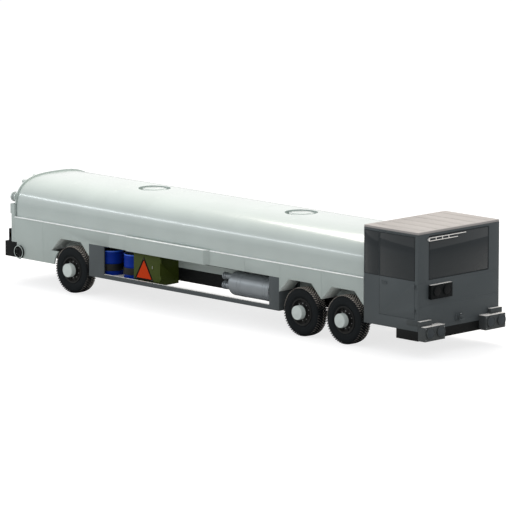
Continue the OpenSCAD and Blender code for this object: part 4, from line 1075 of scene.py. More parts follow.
drums.mirrored().done("oil_drums", "drum_blue", "drums")

# %% Side cabinets and their doors
carcass = Piece()
carcass.put(cad_copy("side_cabinets", 0), cabinet_enamel)
carcass.done("cabinet_carcasses", "cabinet_olive", "side_cabinets")
for side, s in SIDES.items():
    low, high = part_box(f"cabinet_door_{side}")
    x0, x1 = low.x, high.x - 34 * MM
    y = s * max(abs(low.y), abs(high.y))
    leaf = Piece()
    leaf.put(cad_copy(f"cabinet_door_{side}", 2.5 * MM), cabinet_enamel)
    leaf.put(box((x0 + 0.05, y, low.z + 0.05), (x1 - 0.05, y + s * 3 * MM, high.z - 0.05), 2 * MM),
             cabinet_enamel)
    leaf.put(box((x0 + 0.60, y, 0.86), (x0 + 0.66, y + s * 8 * MM, 0.98), 3 * MM), cabinet_enamel)
    leaf.put(tube(rounded([(x0 + 0.63, y + s * 6 * MM, 0.90), (x0 + 0.63, y + s * 22 * MM, 0.90),
                           (x0 + 0.63, y + s * 22 * MM, 0.96)], 8 * MM), 5 * MM), stud_steel)
    cx, cz, wide = x0 + 0.34, 0.782, 0.31
    for grow, out, paint in ((0.0, 5.0, plate_black), (-0.042, 6.5, plate_orange)):
        w, h = wide + grow * 1.7, (wide + grow * 1.7) * 1.732
        corner_points = [(cx - w, cz - h / 3), (cx + w, cz - h / 3), (cx, cz + 2 * h / 3)]
        leaf.put(extruded(corner_points, "Y", y, y + s * out * MM, 0), paint)
    leaf.bolts([(cx + 0.30 * math.cos(a), y + s * 4.5 * MM, cz + 0.30 * math.sin(a)) for a in
                (math.radians(90), math.radians(210), math.radians(330))], (0, s, 0), 4 * MM,
               bolt_zinc)
    leaf.done(f"cabinet_leaf_{side}", "cabinet_olive", f"cabinet_door_{side}",
              f"cabinet_door_{side}_body")

# %% Filter vessels
FLANGE_R, BARREL_R, VESSEL_Z, PIPE_LEN = 280 * MM, 274 * MM, 0.85, 0.395
vessel_low, vessel_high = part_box("filter_vessels")
x0, x1, vessel_y = vessel_low.x + PIPE_LEN, vessel_high.x, vessel_high.y - FLANGE_R
vessel = Piece()
lie = Matrix.Translation((x0, vessel_y, VESSEL_Z)) @ Matrix.Rotation(math.radians(90), 4, "Y")
length = x1 - x0
shell = [(0.19, -0.07), (0.21, -0.066), (0.245, -0.045), (0.268, -0.015), (BARREL_R, 0.02)]
shell += [(BARREL_R, length * k / 8) for k in range(1, 8)]
shell += [(BARREL_R, length - 0.075), (FLANGE_R, length - 0.074), (FLANGE_R, length - 0.046)]
shell += [(BARREL_R + 1 * MM, length - 0.045), (BARREL_R + 1 * MM, length - 0.041),
          (FLANGE_R, length - 0.040), (FLANGE_R, length - 0.014), (BARREL_R, length - 0.012),
          (0.2, length - 0.003), (0, length)]
vessel.put(turned(shell, 96, True), vessel_steel, lie)
for k in range(20):
    t = math.tau * k / 20
    vessel.put(bolt(8 * MM), bolt_zinc, lie @ Matrix.Translation((
        0.268 * math.cos(t), 0.268 * math.sin(t), length - 0.0125)))
for at in (0.22, 0.32, length - 0.25, length - 0.17):
    vessel.put(turned([(BARREL_R - 2 * MM, at), (BARREL_R + 3.5 * MM, at + MM),
                       (BARREL_R + 3.5 * MM, at + 0.034), (BARREL_R - 2 * MM, at + 0.035)],
                      96, False), vessel_steel, lie)
for dz, r in ((0.12, 0.085), (-0.09, 0.095)):
    steps = [(20, 0), (0, 1), (0, 29), (18, 31), (18, 53), (0, 55), (0, 83), (16, 85)]
    pipe = [(r - inset * MM, along * MM - PIPE_LEN) for inset, along in steps]
    pipe += [(r - 16 * MM, 0.0)]
    place = Matrix.Translation((0, 0, dz)) @ lie
    vessel.put(turned(pipe, 40, True), vessel_steel, place)
    for k in range(8):
        t = math.tau * (k + 0.5) / 8
        vessel.put(bolt(6 * MM), bolt_zinc, place @ Matrix.Translation((
            (r - 10 * MM) * math.cos(t), (r - 10 * MM) * math.sin(t), -0.312)))
vessel.put(turned([(0.04, 0), (0.04, 0.02), (0.03, 0.024), (0.012, 0.024), (0.012, 0.05),
                   (0, 0.05)], 24, False), bolt_zinc,
           Matrix.Translation((x0 + 0.45, vessel_y, VESSEL_Z + BARREL_R - 2 * MM))
           @ Matrix.Scale(0.1, 4, (0, 0, 1)))
for x in (x0 + 0.25, x1 - 0.25):
    vessel.put(box((x, 0.62, 0.812), (x + 0.06, vessel_y - 0.1, 0.88), 4 * MM), black_enamel)
vessel.mirrored().done("filter_vessel_pair", "vessel_aluminium", "filter_vessels", smooth=30)

# %% [markdown]
# ## The rear end
# A shallow cabinet closes the rear end, with two doors under a rain hood. Two dark posts carry
# the tail lamps, a tube ladder leads up to the crown, and a channel bumper wraps the corners.

# %% Rear cabinet, doors, ladder and bumper
rear_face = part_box("rear_cabinet")[0].x
BACK = rear_face + 35 * MM
rear = Piece()
rear.put(cad_copy("rear_cabinet", 3 * MM), skirt_enamel)
for s in (-1, 1):
    rear.put(framed(rounded_outline((s * 0.693 - 0.4497, 1.019), (s * 0.693 + 0.4497, 1.601),
                                    4 * MM, 2),
                    rounded_outline((s * 0.693 - 0.4457, 1.023), (s * 0.693 + 0.4457, 1.597),
                                    4 * MM, 2), "X", BACK + 3 * MM, BACK + 28 * MM, 0),
             seal_rubber)
rear.bolts([(BACK, s * (half - 0.04), z) for s in (-1, 1) for z in (1.3, 1.45)], (-1, 0, 0),
           6 * MM, bolt_zinc)
rear.bolts([(rear_face, y, 1.74) for y in (-1.15, -0.75, -0.35, 0.35, 0.75, 1.15)], (-1, 0, 0),
           5 * MM, skirt_enamel)
rear.done("rear_cabinet_box", "tank_paint", "rear_cabinet")
for side, s in SIDES.items():
    low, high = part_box(f"rear_door_{side}")
    leaf = Piece()
    leaf.put(cad_copy(f"rear_door_{side}", 2.5 * MM), skirt_enamel)
    y0, y1 = sorted((s * 0.30, s * 1.07))
    leaf.put(framed(rounded_outline((y0, 1.075), (y1, 1.545), 25 * MM),
                    rounded_outline((y0 + 14 * MM, 1.089), (y1 - 14 * MM, 1.531), 16 * MM),
                    "X", BACK + MM, BACK - 3 * MM, 1 * MM), skirt_enamel)
    leaf.put(box((BACK - 6 * MM, s * 0.345 - 0.03, 1.26), (BACK + MM, s * 0.345 + 0.03, 1.38),
                 3 * MM), bolt_zinc)
    leaf.put(tube(rounded([(BACK, s * 0.345, 1.29), (BACK - 22 * MM, s * 0.345, 1.29),
                           (BACK - 22 * MM, s * 0.345, 1.36)], 8 * MM), 6 * MM), stud_steel)
    leaf.done(f"rear_leaf_{side}", "tank_paint", f"rear_door_{side}", f"rear_door_{side}_body")

ladder_low, ladder_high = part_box("ladder")
rungs = Piece()
rail_x = BACK - 78 * MM
RUNG_PITCH = 187.5 * MM
for s in (-1, 1):
    y = s * 0.2
    rungs.put(tube([(rail_x, y, ladder_low.z), (rail_x, y, ladder_high.z)], 15 * MM, 16),
              ladder_steel)
    for z, reach in ((1.07, BACK), (1.935, TANK_X0)):
        rungs.put(tube([(rail_x, y, z), (reach + 2 * MM, y, z)], 12 * MM, 12), ladder_steel)
        rungs.put(turned([(32 * MM, 0), (32 * MM, 6 * MM), (14 * MM, 8 * MM)], 20), ladder_steel,
                  facing((reach, y, z), (-1, 0, 0)))
for i in range(6):
    z = ladder_low.z + 0.1 + i * RUNG_PITCH
    rungs.put(tube([(rail_x, -0.187, z), (rail_x, 0.187, z)], 13 * MM, 12), ladder_steel)
    for k in range(-6, 7):
        rungs.put(turned([(14.0 * MM, -4 * MM), (14.0 * MM, 4 * MM)], 12, False), ladder_steel,
                  facing((rail_x, k * 25 * MM, z), (0, 1, 0)))
rungs.done("tube_ladder", "bright_steel", "ladder")

bumper = Piece()
b0, b1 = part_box("rear_bumper")
pocket = [box((b0.x - 0.1, s * 0.56 - 0.13, 0.68), (b0.x + 8 * MM, s * 0.56 + 0.13, 0.89), 0)
          for s in (-1, 1)] + [box((b0.x - 0.1, -0.3, 0.69), (b0.x + 2 * MM, 0.3, 0.86), 0)]
bumper.put(carve(cad_copy("rear_bumper", 8 * MM), *pocket), black_enamel)
bumper.bolts([(b0.x + 8 * MM, s * y, z) for s in (-1, 1) for y in (0.5, 0.62) for z in (0.72, 0.85)],
             (-1, 0, 0), 10 * MM, bolt_zinc)
bumper.put(box((b0.x, -0.26, 0.72), (b0.x + 4 * MM, 0.26, 0.83), 2 * MM), pale_plate_and_top_light)
for s in (-1, 1):
    bumper.bolts([(b1.x - 0.04, s * half, z) for z in (0.66, 0.9)], (0, s, 0), 8 * MM,
                 black_enamel)
bumper.done("channel_bumper", "black_steel", "rear_bumper")

# %% Rear lamps and side couplings
lamps = Piece()
lamp_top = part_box("rear_lamps")[1].z
lamps.put(box((BACK - 0.095, half - 0.075, 0.962), (BACK - MM, half, 1.26), 6 * MM), black_enamel)
for z, glass in ((1.03, red_lens), (1.11, amber_lens), (1.19, red_lens)):
    lamps.put(turned([(0.026, 0), (0.028, 4 * MM), (0.022, 5 * MM), (0, 5 * MM)], 28), glass,
              facing((BACK - 0.0945, half - 0.0375, z), (-1, 0, 0)))
lamps.put(box((BACK - 0.085, half - 0.002, 1.06), (BACK - 0.02, half, 1.16), 0.5 * MM),
          amber_lens)
case = [(0.07, 0), (0.112, 0.002), (0.115, 0.012), (0.115, 0.12), (0.112, 0.143), (0.104, 0.145),
        (0.100, 0.133)]
spot = facing((TANK_X0, half - 0.12, 2.0026), (-1, 0, 0))
lamps.put(turned(case, 48, False), tank_enamel, spot)
lamps.put(turned([(0.101, 0.133), (0.08, 0.139), (0.05, 0.1425), (0, 0.144)], 48, False),
          clear_lens, spot)
for k in range(5):
    lamps.put(turned([(0.1155, 0.03 + 0.016 * k), (0.1155, 0.036 + 0.016 * k)], 48, False),
              black_enamel, spot)
for small_y, small_z in ((0.58, lamp_top - 0.045), (0.914, 2.3375)):
    small = facing((TANK_X0, small_y, small_z), (-1, 0, 0))
    lamps.put(turned([(0.03, 0), (0.045, 0.002), (0.045, 0.08), (0.042, 0.088), (0.038, 0.084)],
                     32, False), tank_enamel, small)
    lamps.put(turned([(0.039, 0.084), (0.03, 0.088), (0, 0.0898)], 32, False), clear_lens, small)
lamps.mirrored().done("tail_and_work_lamps", "lamp_plastic", "rear_lamps")

coupling = Piece()
c0, c1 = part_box("side_couplings")
cx, cz = (c0.x + c1.x) / 2, 0.755
turn = facing((cx, half, cz), (0, 1, 0))
coupling.put(turned([(0.15, 0), (0.15, 0.042)], 64, False), black_enamel, turn)
# The thin pale lip on the black ring is a painted highlight round the rim.
coupling.put(turned([(0.15, 0.042), (0.148, 0.049), (0.145, 0.050), (0.138, 0.050),
                     (0.132, 0.046)], 64, False), skirt_enamel, turn)
coupling.put(turned([(0.132, 0.046), (0.132, 0.014), (0.09, 0.012), (0.088, 0.03), (0.05, 0.032),
                     (0.048, 0.016), (0, 0.016)], 64, False), black_enamel, turn)
coupling.put(box((cx - 0.04, half, c0.z), (cx + 0.04, half + 10 * MM, cz - 0.148), 2 * MM),
             skirt_enamel)
coupling.put(box((cx - 0.04, half, cz + 0.148), (cx + 0.04, half + 10 * MM, c1.z), 2 * MM),
             skirt_enamel)
for k in range(6):
    t = math.tau * (k + 0.5) / 6
    coupling.put(bolt(6 * MM), bolt_zinc, turn @ Matrix.Translation((
        0.11 * math.cos(t), 0.11 * math.sin(t), 0.0125)))
coupling.mirrored().done("hose_couplings", "bright_steel", "side_couplings")

# %% [markdown]
# ## Chassis, engine and axles
# The ladder frame, axles and springs are seen from below and between the wheels. The frame is
# black enamel with rows of bolts at its cross members; axles are cast iron; the leaf springs
# are stacks of plates held by U bolts. The engine is shown as one block with cast ribs.

# %% Chassis and engine
rails_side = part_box("chassis_frame")[1].y
rails = Piece()
rails.put(cad_copy("chassis_frame", 2 * MM), black_enamel)
for s in (-1, 1):
    for x in [-5.98 + 1.7 * k for k in range(6)]:
        rails.bolts([(x + dx, s * rails_side, z) for dx in (-0.04, 0.04) for z in
                     (0.66, 0.74, 0.82)], (0, s, 0), 8 * MM, black_enamel)
rails.done("ladder_frame", "black_steel", "chassis_frame")

engine = Piece()
e0, e1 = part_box("engine_block")
engine.put(box(tuple(e0), tuple(e1), 12 * MM, 3), engine_iron)
for k in range(7):
    x = e0.x + 0.1 + k * (e1.x - e0.x - 0.2) / 6
    for s in (-1, 1):
        engine.put(box((x - 8 * MM, s * (e1.y - 2 * MM), e0.z + 0.05),
                       (x + 8 * MM, s * (e1.y + 0.5 * MM), e1.z - 0.05), 0), engine_iron)
engine.bolts([(x, s * 0.3, e0.z) for x in (3.3, 3.6, 3.9, 4.2) for s in (-1, 1)], (0, 0, -1),
             9 * MM, bolt_zinc)
engine.done("engine_casting", "grey_iron", "engine_block")

bearers = Piece()
bearers.put(cad_copy("tank_bearers", 4 * MM), skirt_enamel)
for s in (-1, 1):
    bearers.bolts([(-6.0 + 0.9 * k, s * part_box("tank_bearers")[1].y, 0.93) for k in range(12)],
                  (0, s, 0), 9 * MM, bolt_zinc)
bearers.done("bearer_beams", "tank_paint", "tank_bearers")

under = Piece()
under.put(cad_copy("front_underframe", 5 * MM), black_enamel)
under_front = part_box("front_underframe")[1].x
under.bolts([(under_front, y, z) for y in (-0.9, -0.45, 0, 0.45, 0.9) for z in (0.42, 0.54)], (1, 0, 0),
            9 * MM, black_enamel)
under.done("cab_underframe", "black_steel", "front_underframe")

# %% Axles, springs and knuckles
def leaves(piece, x, y, top, half_length, count, wide=80 * MM, thick=10 * MM):
    """A stack of spring plates, the longest on top, with two U bolts and a clamp plate."""
    for k in range(count):
        reach = half_length * (1 - 0.13 * k)
        piece.put(box((x - reach, y - wide / 2, top - thick * (k + 1) + MM),
                      (x + reach, y + wide / 2, top - thick * k), 1 * MM), axle_iron)
    for dx in (-0.05, 0.05):
        for dy in (-wide / 2 - 8 * MM, wide / 2 + 8 * MM):
            piece.put(tube([(x + dx, y + dy, top - thick * count - 10 * MM),
                            (x + dx, y + dy, top + 14 * MM)], 8 * MM, 8), bolt_zinc)
    piece.put(box((x - 0.08, y - wide / 2 - 18 * MM, top),
                  (x + 0.08, y + wide / 2 + 18 * MM, top + 8 * MM), 2 * MM), axle_iron)


joint_at = {joint["name"]: joint["pos_m"] for joint in frame["joints"]}
AXLE_X = [joint_at[f"spin_{n}_left"][0] for n in (1, 2, 3)]
WHEEL_Y, AXLE_Z = joint_at["spin_1_left"][1:]
print("axles at x", AXLE_X)
front = Piece()
front.put(cad_copy("front_axles", 4 * MM), axle_iron)
for x in AXLE_X[:2]:
    for s in (-1, 1):
        for z in (0.4, 0.425):
            front.put(box((x - 0.2, s * 0.58 - 0.04, z), (x + 0.2, s * 0.58 + 0.04, z + 0.02),
                          2 * MM), axle_iron)
        for dx in (-0.055, 0.055):
            front.put(tube([(x + dx, s * 0.53, 0.44), (x + dx, s * 0.53, 0.5)], 8 * MM, 8),
                      bolt_zinc)
    front.put(tube([(x - 0.13, -0.78, 0.47), (x - 0.13, 0.78, 0.47)], 14 * MM, 14), axle_iron)
front.done("front_axle_beams", "grey_iron", "front_axles")

back_axle = Piece()
back_axle.put(cad_copy("rear_axle", 3 * MM), axle_iron)
for s in (-1, 1):
    leaves(back_axle, AXLE_X[2], s * 0.75, 0.632, 0.46, 4)
for k in range(12):
    t = math.tau * k / 12
    back_axle.put(bolt(9 * MM), bolt_zinc, facing(
        (AXLE_X[2] - 0.135, 0.115 * math.cos(t), AXLE_Z + 0.115 * math.sin(t)), (-1, 0, 0)))
back_axle.done("drive_axle", "grey_iron", "rear_axle")

for side, s in SIDES.items():
    for n in (1, 2):
        fork = Piece()
        fork.put(cad_copy(f"knuckle_{n}_{side}", 3 * MM), axle_iron)
        x = AXLE_X[n - 1]
        for z, up in ((0.682, 1), (0.402, -1)):
            fork.put(turned([(26 * MM, 0), (26 * MM, 3 * MM), (20 * MM, 6 * MM), (0, 6 * MM)], 20),
                     bolt_zinc, facing((x, s * 0.96, z - up * MM), (0, 0, up)))
        fork.done(f"steering_fork_{n}_{side}", "grey_iron", f"knuckle_{n}_{side}",
                  f"knuckle_{n}_{side}_body")

# %% [markdown]
# ## Wheels
# The tyres are wide off-road ones: the tread is cut into lugs in staggered rows, with bevelled
# shoulders and a smooth crown under them. Each wheel is a rolled rim round a pressed disc with
# hand holes, a ring of nuts, and a long hub that stands out to a capped end. One tyre and one
# rim are built at the origin, then placed six times.

# %% Tyre and rim
TYRE_R, BEAD_R, PITCHES = 542 * MM, 288 * MM, 56


def tyre_shapes():
    """The carcass and the tread lugs, turned about Z with the outer side at +Z."""
    base = TYRE_R - 17 * MM
    wall = [(BEAD_R, -112), (BEAD_R + 12 * MM, -116), (BEAD_R + 22 * MM, -113),
            (BEAD_R + 30 * MM, -124), (BEAD_R + 48 * MM, -134), (BEAD_R + 70 * MM, -142),
            (BEAD_R + 74 * MM, -145), (BEAD_R + 80 * MM, -144), (BEAD_R + 100 * MM, -147),
            (BEAD_R + 140 * MM, -150), (BEAD_R + 160 * MM, -149), (BEAD_R + 166 * MM, -145),
            (BEAD_R + 172 * MM, -144), (TYRE_R - 66 * MM, -144), (TYRE_R - 60 * MM, -141)]
    wall = [(r, z * MM) for r, z in wall]
    crown = [(base - 14 * MM, -128 * MM), (base - 4 * MM, -112 * MM), (base, -80 * MM), (base, 0)]
    profile = wall + crown
    profile += [(r, -z) for r, z in reversed(profile[:-1])]
    return turned(profile, 112, False)


def lug_row(z0, z1, offset, top0, top1, width):
    """One row of tread lugs, each a block with bevelled walls. top0 and top1 are its radii."""
    shape = bmesh.new()
    base = TYRE_R - 19 * MM
    for k in range(PITCHES):
        mid = math.tau * (k + offset) / PITCHES
        lean = 0.012 * (1 if z0 + z1 > 0 else -1)
        rings = []
        for level in (0, 1, 2):
            ring = []
            for z, top, tilt in ((z0, top0, -lean), (z1, top1, lean)):
                radius = (min(base, top - 14 * MM), top - 2.5 * MM, top)[level]
                spread = width / 2 / TYRE_R * (1.0, 0.94, 0.86)[level]
                inset = (0, 1 * MM, 4 * MM)[level] * (1 if z == z0 else -1)
                for a in ((-spread, spread) if z == z0 else (spread, -spread)):
                    ring.append(Vector((radius * math.cos(mid + a + tilt),
                                        radius * math.sin(mid + a + tilt), z + inset)))
            rings.append([shape.verts.new(p) for p in ring])
        for low, high in zip(rings, rings[1:]):
            for i in range(4):
                shape.faces.new([low[i], low[(i + 1) % 4], high[(i + 1) % 4], high[i]])
        shape.faces.new(rings[-1])
    bmesh.ops.recalc_face_normals(shape, faces=shape.faces)
    return shape


DISC_IN, DISC_OUT, HUB_R, HUB_FACE = 55 * MM, 71 * MM, 156 * MM, 283 * MM


def rim_piece(paint):
    """The rim, disc, brake drum and hub, turned about Z with the outer side at +Z."""
    piece = Piece()
    well = [(-20, -134), (16, -134), (18, -130), (18, -118), (-1, -113), (-1, 113), (18, 118),
            (18, 130), (16, 134), (-14, 134), (-18, 131), (-19, 100), (-26, 92), (-26, -92),
            (-20, -100)]
    well = [(BEAD_R + rise * MM, z * MM) for rise, z in well]
    piece.put(turned(well + well[:1], 96, False), paint)
    disc = turned([(0.105, DISC_IN), (BEAD_R - 25 * MM, DISC_IN), (BEAD_R - 25 * MM, DISC_OUT),
                   (0.105, DISC_OUT), (0.105, DISC_IN)], 96, False)
    bmesh.ops.remove_doubles(disc, verts=disc.verts, dist=0.001 * MM)
    holes = [turned([(0.024, 0.03), (0.024, 0.1)], 24) for _ in range(10)]
    for k, hole in enumerate(holes):
        hole.transform(Matrix.Rotation(math.tau * k / 10, 4, "Z")
                       @ Matrix.Translation((0.226, 0, 0)))
    piece.put(carve(disc, *holes), paint)
    piece.put(turned([(0.11, -54 * MM), (0.235, -53 * MM), (0.248, -48 * MM),
                      (0.248, 30 * MM), (0.24, 38 * MM), (0.11, 40 * MM)], 64, False), axle_iron)
    piece.put(turned([(HUB_R + 14 * MM, 70 * MM), (HUB_R + 12 * MM, 78 * MM), (HUB_R, 84 * MM),
                      (HUB_R, 157 * MM)], 72, False), paint)
    # The pale hub paint is painted light against the shade in the arch.
    piece.put(turned([(HUB_R, 157 * MM), (HUB_R, 160 * MM), (HUB_R, HUB_FACE - 14 * MM),
                      (HUB_R - 4 * MM, HUB_FACE - 5 * MM), (HUB_R - 14 * MM, HUB_FACE),
                      (HUB_R - 22 * MM, HUB_FACE), (HUB_R - 25 * MM, HUB_FACE - 3 * MM),
                      (0.06, HUB_FACE - 3 * MM), (0.055, HUB_FACE - 1 * MM), (0, HUB_FACE)], 72,
                     False), hub_painted_light)
    piece.put(turned([(HUB_R, 150 * MM), (HUB_R + 0.5 * MM, 151 * MM), (HUB_R + 0.5 * MM, 156 * MM),
                      (HUB_R, 158 * MM)], 72, False), seal_rubber)
    for k in range(10):
        t = math.tau * (k + 0.5) / 10
        nut = Matrix.Translation((0.188 * math.cos(t), 0.188 * math.sin(t), 70.5 * MM))
        piece.put(bolt(12 * MM), wheel_enamel, nut)
        piece.put(turned([(8 * MM, 0), (8 * MM, 20 * MM), (5 * MM, 22 * MM), (0, 22 * MM)], 12),
                  stud_steel, nut)
    for k in range(8):
        t = math.tau * k / 8
        piece.put(bolt(6 * MM), hub_painted_light, Matrix.Translation((
            0.1 * math.cos(t), 0.1 * math.sin(t), HUB_FACE - 6.5 * MM)))
    piece.put(turned([(4 * MM, 0), (4 * MM, 12 * MM), (3 * MM, 24 * MM), (0, 24 * MM)], 10),
              bolt_zinc, Matrix.Translation((0.252, 0, 70 * MM)))
    piece.put(turned([(0.052, 152.1 * MM), (0.052, 153 * MM), (0, 153 * MM)], 24, False),
              axle_iron)
    return piece


# Each row of lugs: its two edges across the tread, its place in the pitch, how far its two
# edges lie below the tread's radius, and its lugs' width, in millimetres.
rows = [(-147, -92, 0.0, 12, 3, 30), (-84, -46, 0.5, 1, 0, 32), (-38, -3, 0.0, 0, 0, 32),
        (3, 38, 0.5, 0, 0, 32), (46, 84, 0.0, 0, 1, 32), (92, 147, 0.5, 3, 12, 30)]
for n, x in enumerate(AXLE_X, 1):
    for side, s in SIDES.items():
        place = (Matrix.Translation((x, s * WHEEL_Y, AXLE_Z))
                 @ Matrix.Rotation(math.radians(-90 * s), 4, "X"))
        tyre = Piece()
        tyre.put(tyre_shapes(), sidewall_rubber)
        # The lugs carry the tread rubber's painted top light on their upward faces.
        for z0, z1, offset, drop0, drop1, width in rows:
            tyre.put(lug_row(z0 * MM, z1 * MM, offset, TYRE_R - drop0 * MM, TYRE_R - drop1 * MM,
                             width * MM), tread_rubber)
        tyre.mesh.transform(place)
        tyre.done(f"tyre_{n}_{side}_rubber", "tyre_rubber", f"tyre_{n}_{side}", f"wheel_{n}_{side}",
                  smooth=40)
        rim = rim_piece(wheel_enamel)
        rim.mesh.transform(place)
        rim.done(f"rim_{n}_{side}_steel", "rim_paint", f"rim_{n}_{side}", f"wheel_{n}_{side}")

# %% [markdown]
# ## Inside the cab
# Through the open doors and the tinted glass one sees two seats, the dashboard with its hooded
# instruments, and the steering wheel. A cushion is foam in a sewn cover: its top is crowned, its
# edges are piped, and its seams pull the cover in. Each cushion starts as a closed cage, is
# subdivided, and its cover is pressed outwards and in at the seams.

# %% Seats
def cushion(low, high, crown, seams_at, axis_up, rows_at=14):
    """A closed cushion: a superellipsoid block, crowned on one side, with stitched channels."""
    shape = bmesh.new()
    bmesh.ops.create_cube(shape, size=2)
    bmesh.ops.subdivide_edges(shape, edges=shape.edges, cuts=rows_at, use_grid_fill=True)
    low, high = Vector(low), Vector(high)
    middle, reach = (low + high) / 2, (high - low) / 2
    for v in shape.verts:
        p = v.co.copy()
        norm = (abs(p.x) ** 7 + abs(p.y) ** 7 + abs(p.z) ** 7) ** (1 / 7)
        p = p / norm
        up = p[axis_up]
        flat = [p[i] for i in range(3) if i != axis_up]
        swell = (1 - flat[0] ** 2) * (1 - flat[1] ** 2)
        if up > 0:
            p[axis_up] = up * (1 - crown + crown * swell)
            for seam in seams_at:
                p[axis_up] -= 0.10 * math.exp(-((p.y - seam) / 0.05) ** 2) * up ** 4
        v.co = Vector(middle[i] + p[i] * reach[i] for i in range(3))
    bmesh.ops.recalc_face_normals(shape, faces=shape.faces)
    return shape


def piping(low, high, z_axis, at, radius=5 * MM):
    """A sewn cord round a cushion's edge."""
    outline = rounded_outline(low, high, 50 * MM, 6)
    order = AXIS_ORDER[z_axis]
    return tube([[(*p, at)[i] for i in order] for p in outline], radius, 8, True)


x0, seat_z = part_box("seats")[0].x, 1.075
for name, s in SIDES.items():
    y0, y1 = sorted((s * 0.36, s * 0.88))
    for part, low, high, axis_up, crown in (
            ("base", (x0 + 0.005, y0, seat_z - 0.12), (x0 + 0.54, y1, seat_z), 2, 0.35),
            ("back", (x0, y0 + 0.02, seat_z + 0.005), (x0 + 0.12, y1 - 0.02, seat_z + 0.56), 0, 0.3),
            ("head", (x0 + 0.015, y0 + 0.12, seat_z + 0.565), (x0 + 0.105, y1 - 0.12, seat_z + 0.76),
             0, 0.3)):
        pad = Piece()
        pad.put(cushion(low, high, crown, () if part == "head" else (-0.45, 0.45), axis_up),
                seat_cloth)
        if part == "base":
            pad.put(piping((x0 + 0.012, y0 + 0.006), (x0 + 0.534, y1 - 0.006), "Z",
                           seat_z - 0.045), grip_plastic)
        if part == "back":
            pad.put(piping((y0 + 0.026, seat_z + 0.012), (y1 - 0.026, seat_z + 0.553), "X",
                           x0 + 0.085), grip_plastic)
        made = pad.done(f"seat_{part}_{name}", "seat_fabric", "seats")
seat_base = Piece()
for s in (-1, 1):
    y = s * 0.62
    seat_base.put(box((x0 + 0.08, y - 0.2, 0.6455), (x0 + 0.48, y + 0.2, 0.70), 8 * MM),
                  black_enamel)
    for k in range(5):
        w = 0.19 - 0.012 * (k % 2)
        seat_base.put(box((x0 + 0.1, y - w, 0.70 + 0.044 * k),
                          (x0 + 0.46, y + w, 0.742 + 0.044 * k), 8 * MM), seal_rubber)
    for dy in (-0.06, 0.06):
        seat_base.put(tube([(x0 + 0.06, y + dy, seat_z + 0.5), (x0 + 0.06, y + dy, seat_z + 0.6)],
                           6 * MM, 10), stud_steel)
    seat_base.put(box((x0 + 0.02, y - 0.22, seat_z - 0.135), (x0 + 0.5, y + 0.22, seat_z - 0.105),
                      6 * MM), black_enamel)
seat_base.done("seat_bases", "seat_fabric", "seats")

# %% Dashboard, steering wheel and floor mat
dash = Piece()
dash.put(cad_copy("dashboard", 12 * MM), dash_plastic)
FASCIA_X, TOP = 6.0975, 1.45
dash.put(box((6.12, 0.42, TOP - 2 * MM), (6.33, 0.82, TOP + 36 * MM), 14 * MM, 3), dash_plastic)
for y, r in ((0.5, 0.045), (0.62, 0.055), (0.74, 0.045)):
    turn = facing((FASCIA_X, y, TOP - 0.075), (-1, 0, 0))
    dash.put(turned([(r, 0), (r, 8 * MM), (r - 5 * MM, 9 * MM), (r - 6 * MM, 4 * MM)], 32, False),
             grip_plastic, turn)
    dash.put(turned([(r - 6 * MM, 4 * MM), (0, 5 * MM)], 32, False), box_lens, turn)
for y in (-0.9, -0.3, 0.2, 1.0):
    for z in (TOP - 0.07, TOP - 0.085, TOP - 0.1):
        dash.put(box((FASCIA_X - 5 * MM, y - 0.09, z - 3 * MM),
                     (FASCIA_X + 2 * MM, y + 0.09, z + 3 * MM), 2 * MM), grip_plastic)
dash.put(box((FASCIA_X - 3 * MM, -0.75, 1.14), (FASCIA_X + 2 * MM, -0.35, 1.3), 2 * MM),
         dash_plastic)
dash.put(box((4.91, -1.2, 0.6455), (6.03, 1.2, 0.652), 2 * MM), mat_rubber)
dash.done("dashboard_moulding", "dash_plastic", "dashboard")

wheel = Piece()
wheel.put(cad_copy("steering_wheel", 1 * MM, 50), grip_plastic)
wheel.done("steering_wheel_rim", "dash_plastic", "steering_wheel", "steering_wheel_body")

# %% [markdown]
# ## Light and floor
# A studio with white surroundings: the world lights softly from all sides, one large lamp stands
# high behind the truck, and a long strip lights the shoulder of the tank. The floor shows white
# to the camera and keeps only the truck's own shadow.

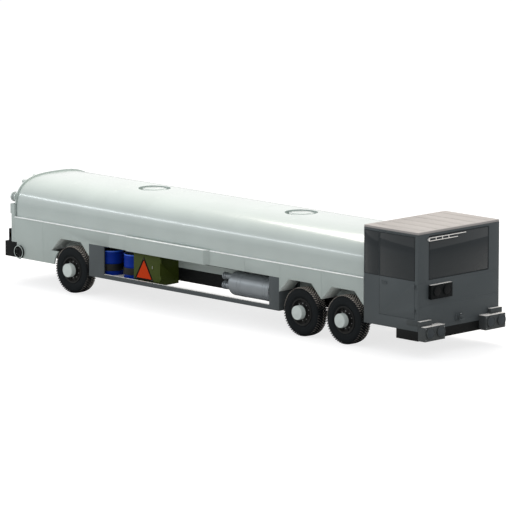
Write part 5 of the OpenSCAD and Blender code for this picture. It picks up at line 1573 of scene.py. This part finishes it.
# %% Stage
def lamp(name, size, place, aim, power, colour="#ffffff", size_y=None):
    """A soft rectangular lamp at a place, turned towards a point."""
    data = bpy.data.lights.new(name, "AREA")
    data.shape, data.size, data.size_y = "RECTANGLE", size, size_y or size
    data.energy, data.color = power, linear(colour)[:3]
    made = bpy.data.objects.new(name, data)
    bpy.context.scene.collection.objects.link(made)
    made.location = place
    made.rotation_mode = "QUATERNION"
    made.rotation_quaternion = (Vector(aim) - Vector(place)).to_track_quat("-Z", "Y")
    return made


lamp("key_overhead", 16, (-3, 5, 17), (0, 0, 1), 3400, "#fff8ee", 10)
lamp("tank_strip", 15, (-14.8, -14.3, 8), (-1.0, -1.2, 2.0), 430, "#f4fbff", 0.8)

world = bpy.data.worlds.new("studio")
bpy.context.scene.world = world
world.use_nodes = True
tree = world.node_tree
tree.nodes.clear()
rays = add(tree, "LightPath")
seen = add(tree, "Math", {0: rays.outputs["Is Camera Ray"], 1: rays.outputs["Is Glossy Ray"]},
           operation="MAXIMUM")
seen = add(tree, "Math", {0: seen.outputs[0], 1: rays.outputs["Is Transmission Ray"]},
           operation="MAXIMUM")
soft = add(tree, "Background", {"Color": linear("#fbfcff"), "Strength": 0.84})
white = add(tree, "Background", {"Color": (1, 1, 1, 1), "Strength": 1.0})
either = add(tree, "MixShader", {0: seen.outputs[0], 1: soft.outputs[0], 2: white.outputs[0]})
tree.links.new(either.outputs[0], add(tree, "OutputWorld").inputs["Surface"])

plate = bmesh.new()
bmesh.ops.create_grid(plate, x_segments=1, y_segments=1, size=300)
floor = as_object(plate, "studio_floor")
material, tree, output, place = blank_material("studio_floor_pale_paper")
lit = add(tree, "BsdfDiffuse", {"Color": drifting(tree, place, "#c4c4c4", 0.02, 3000)})
paper = add(tree, "BsdfDiffuse", {"Color": linear("#a0a0a0")})
glow = add(tree, "Emission", {"Color": (1, 1, 1, 1), "Strength": 0.75})
shown = add(tree, "AddShader", {0: paper.outputs[0], 1: glow.outputs[0]})
rays = add(tree, "LightPath")
floor_mix = add(tree, "MixShader", {0: rays.outputs["Is Camera Ray"], 1: lit.outputs[0],
                                    2: shown.outputs[0]})
tree.links.new(floor_mix.outputs[0], output.inputs["Surface"])
floor.data.materials.append(material)
print("lamps", len(bpy.data.lights))
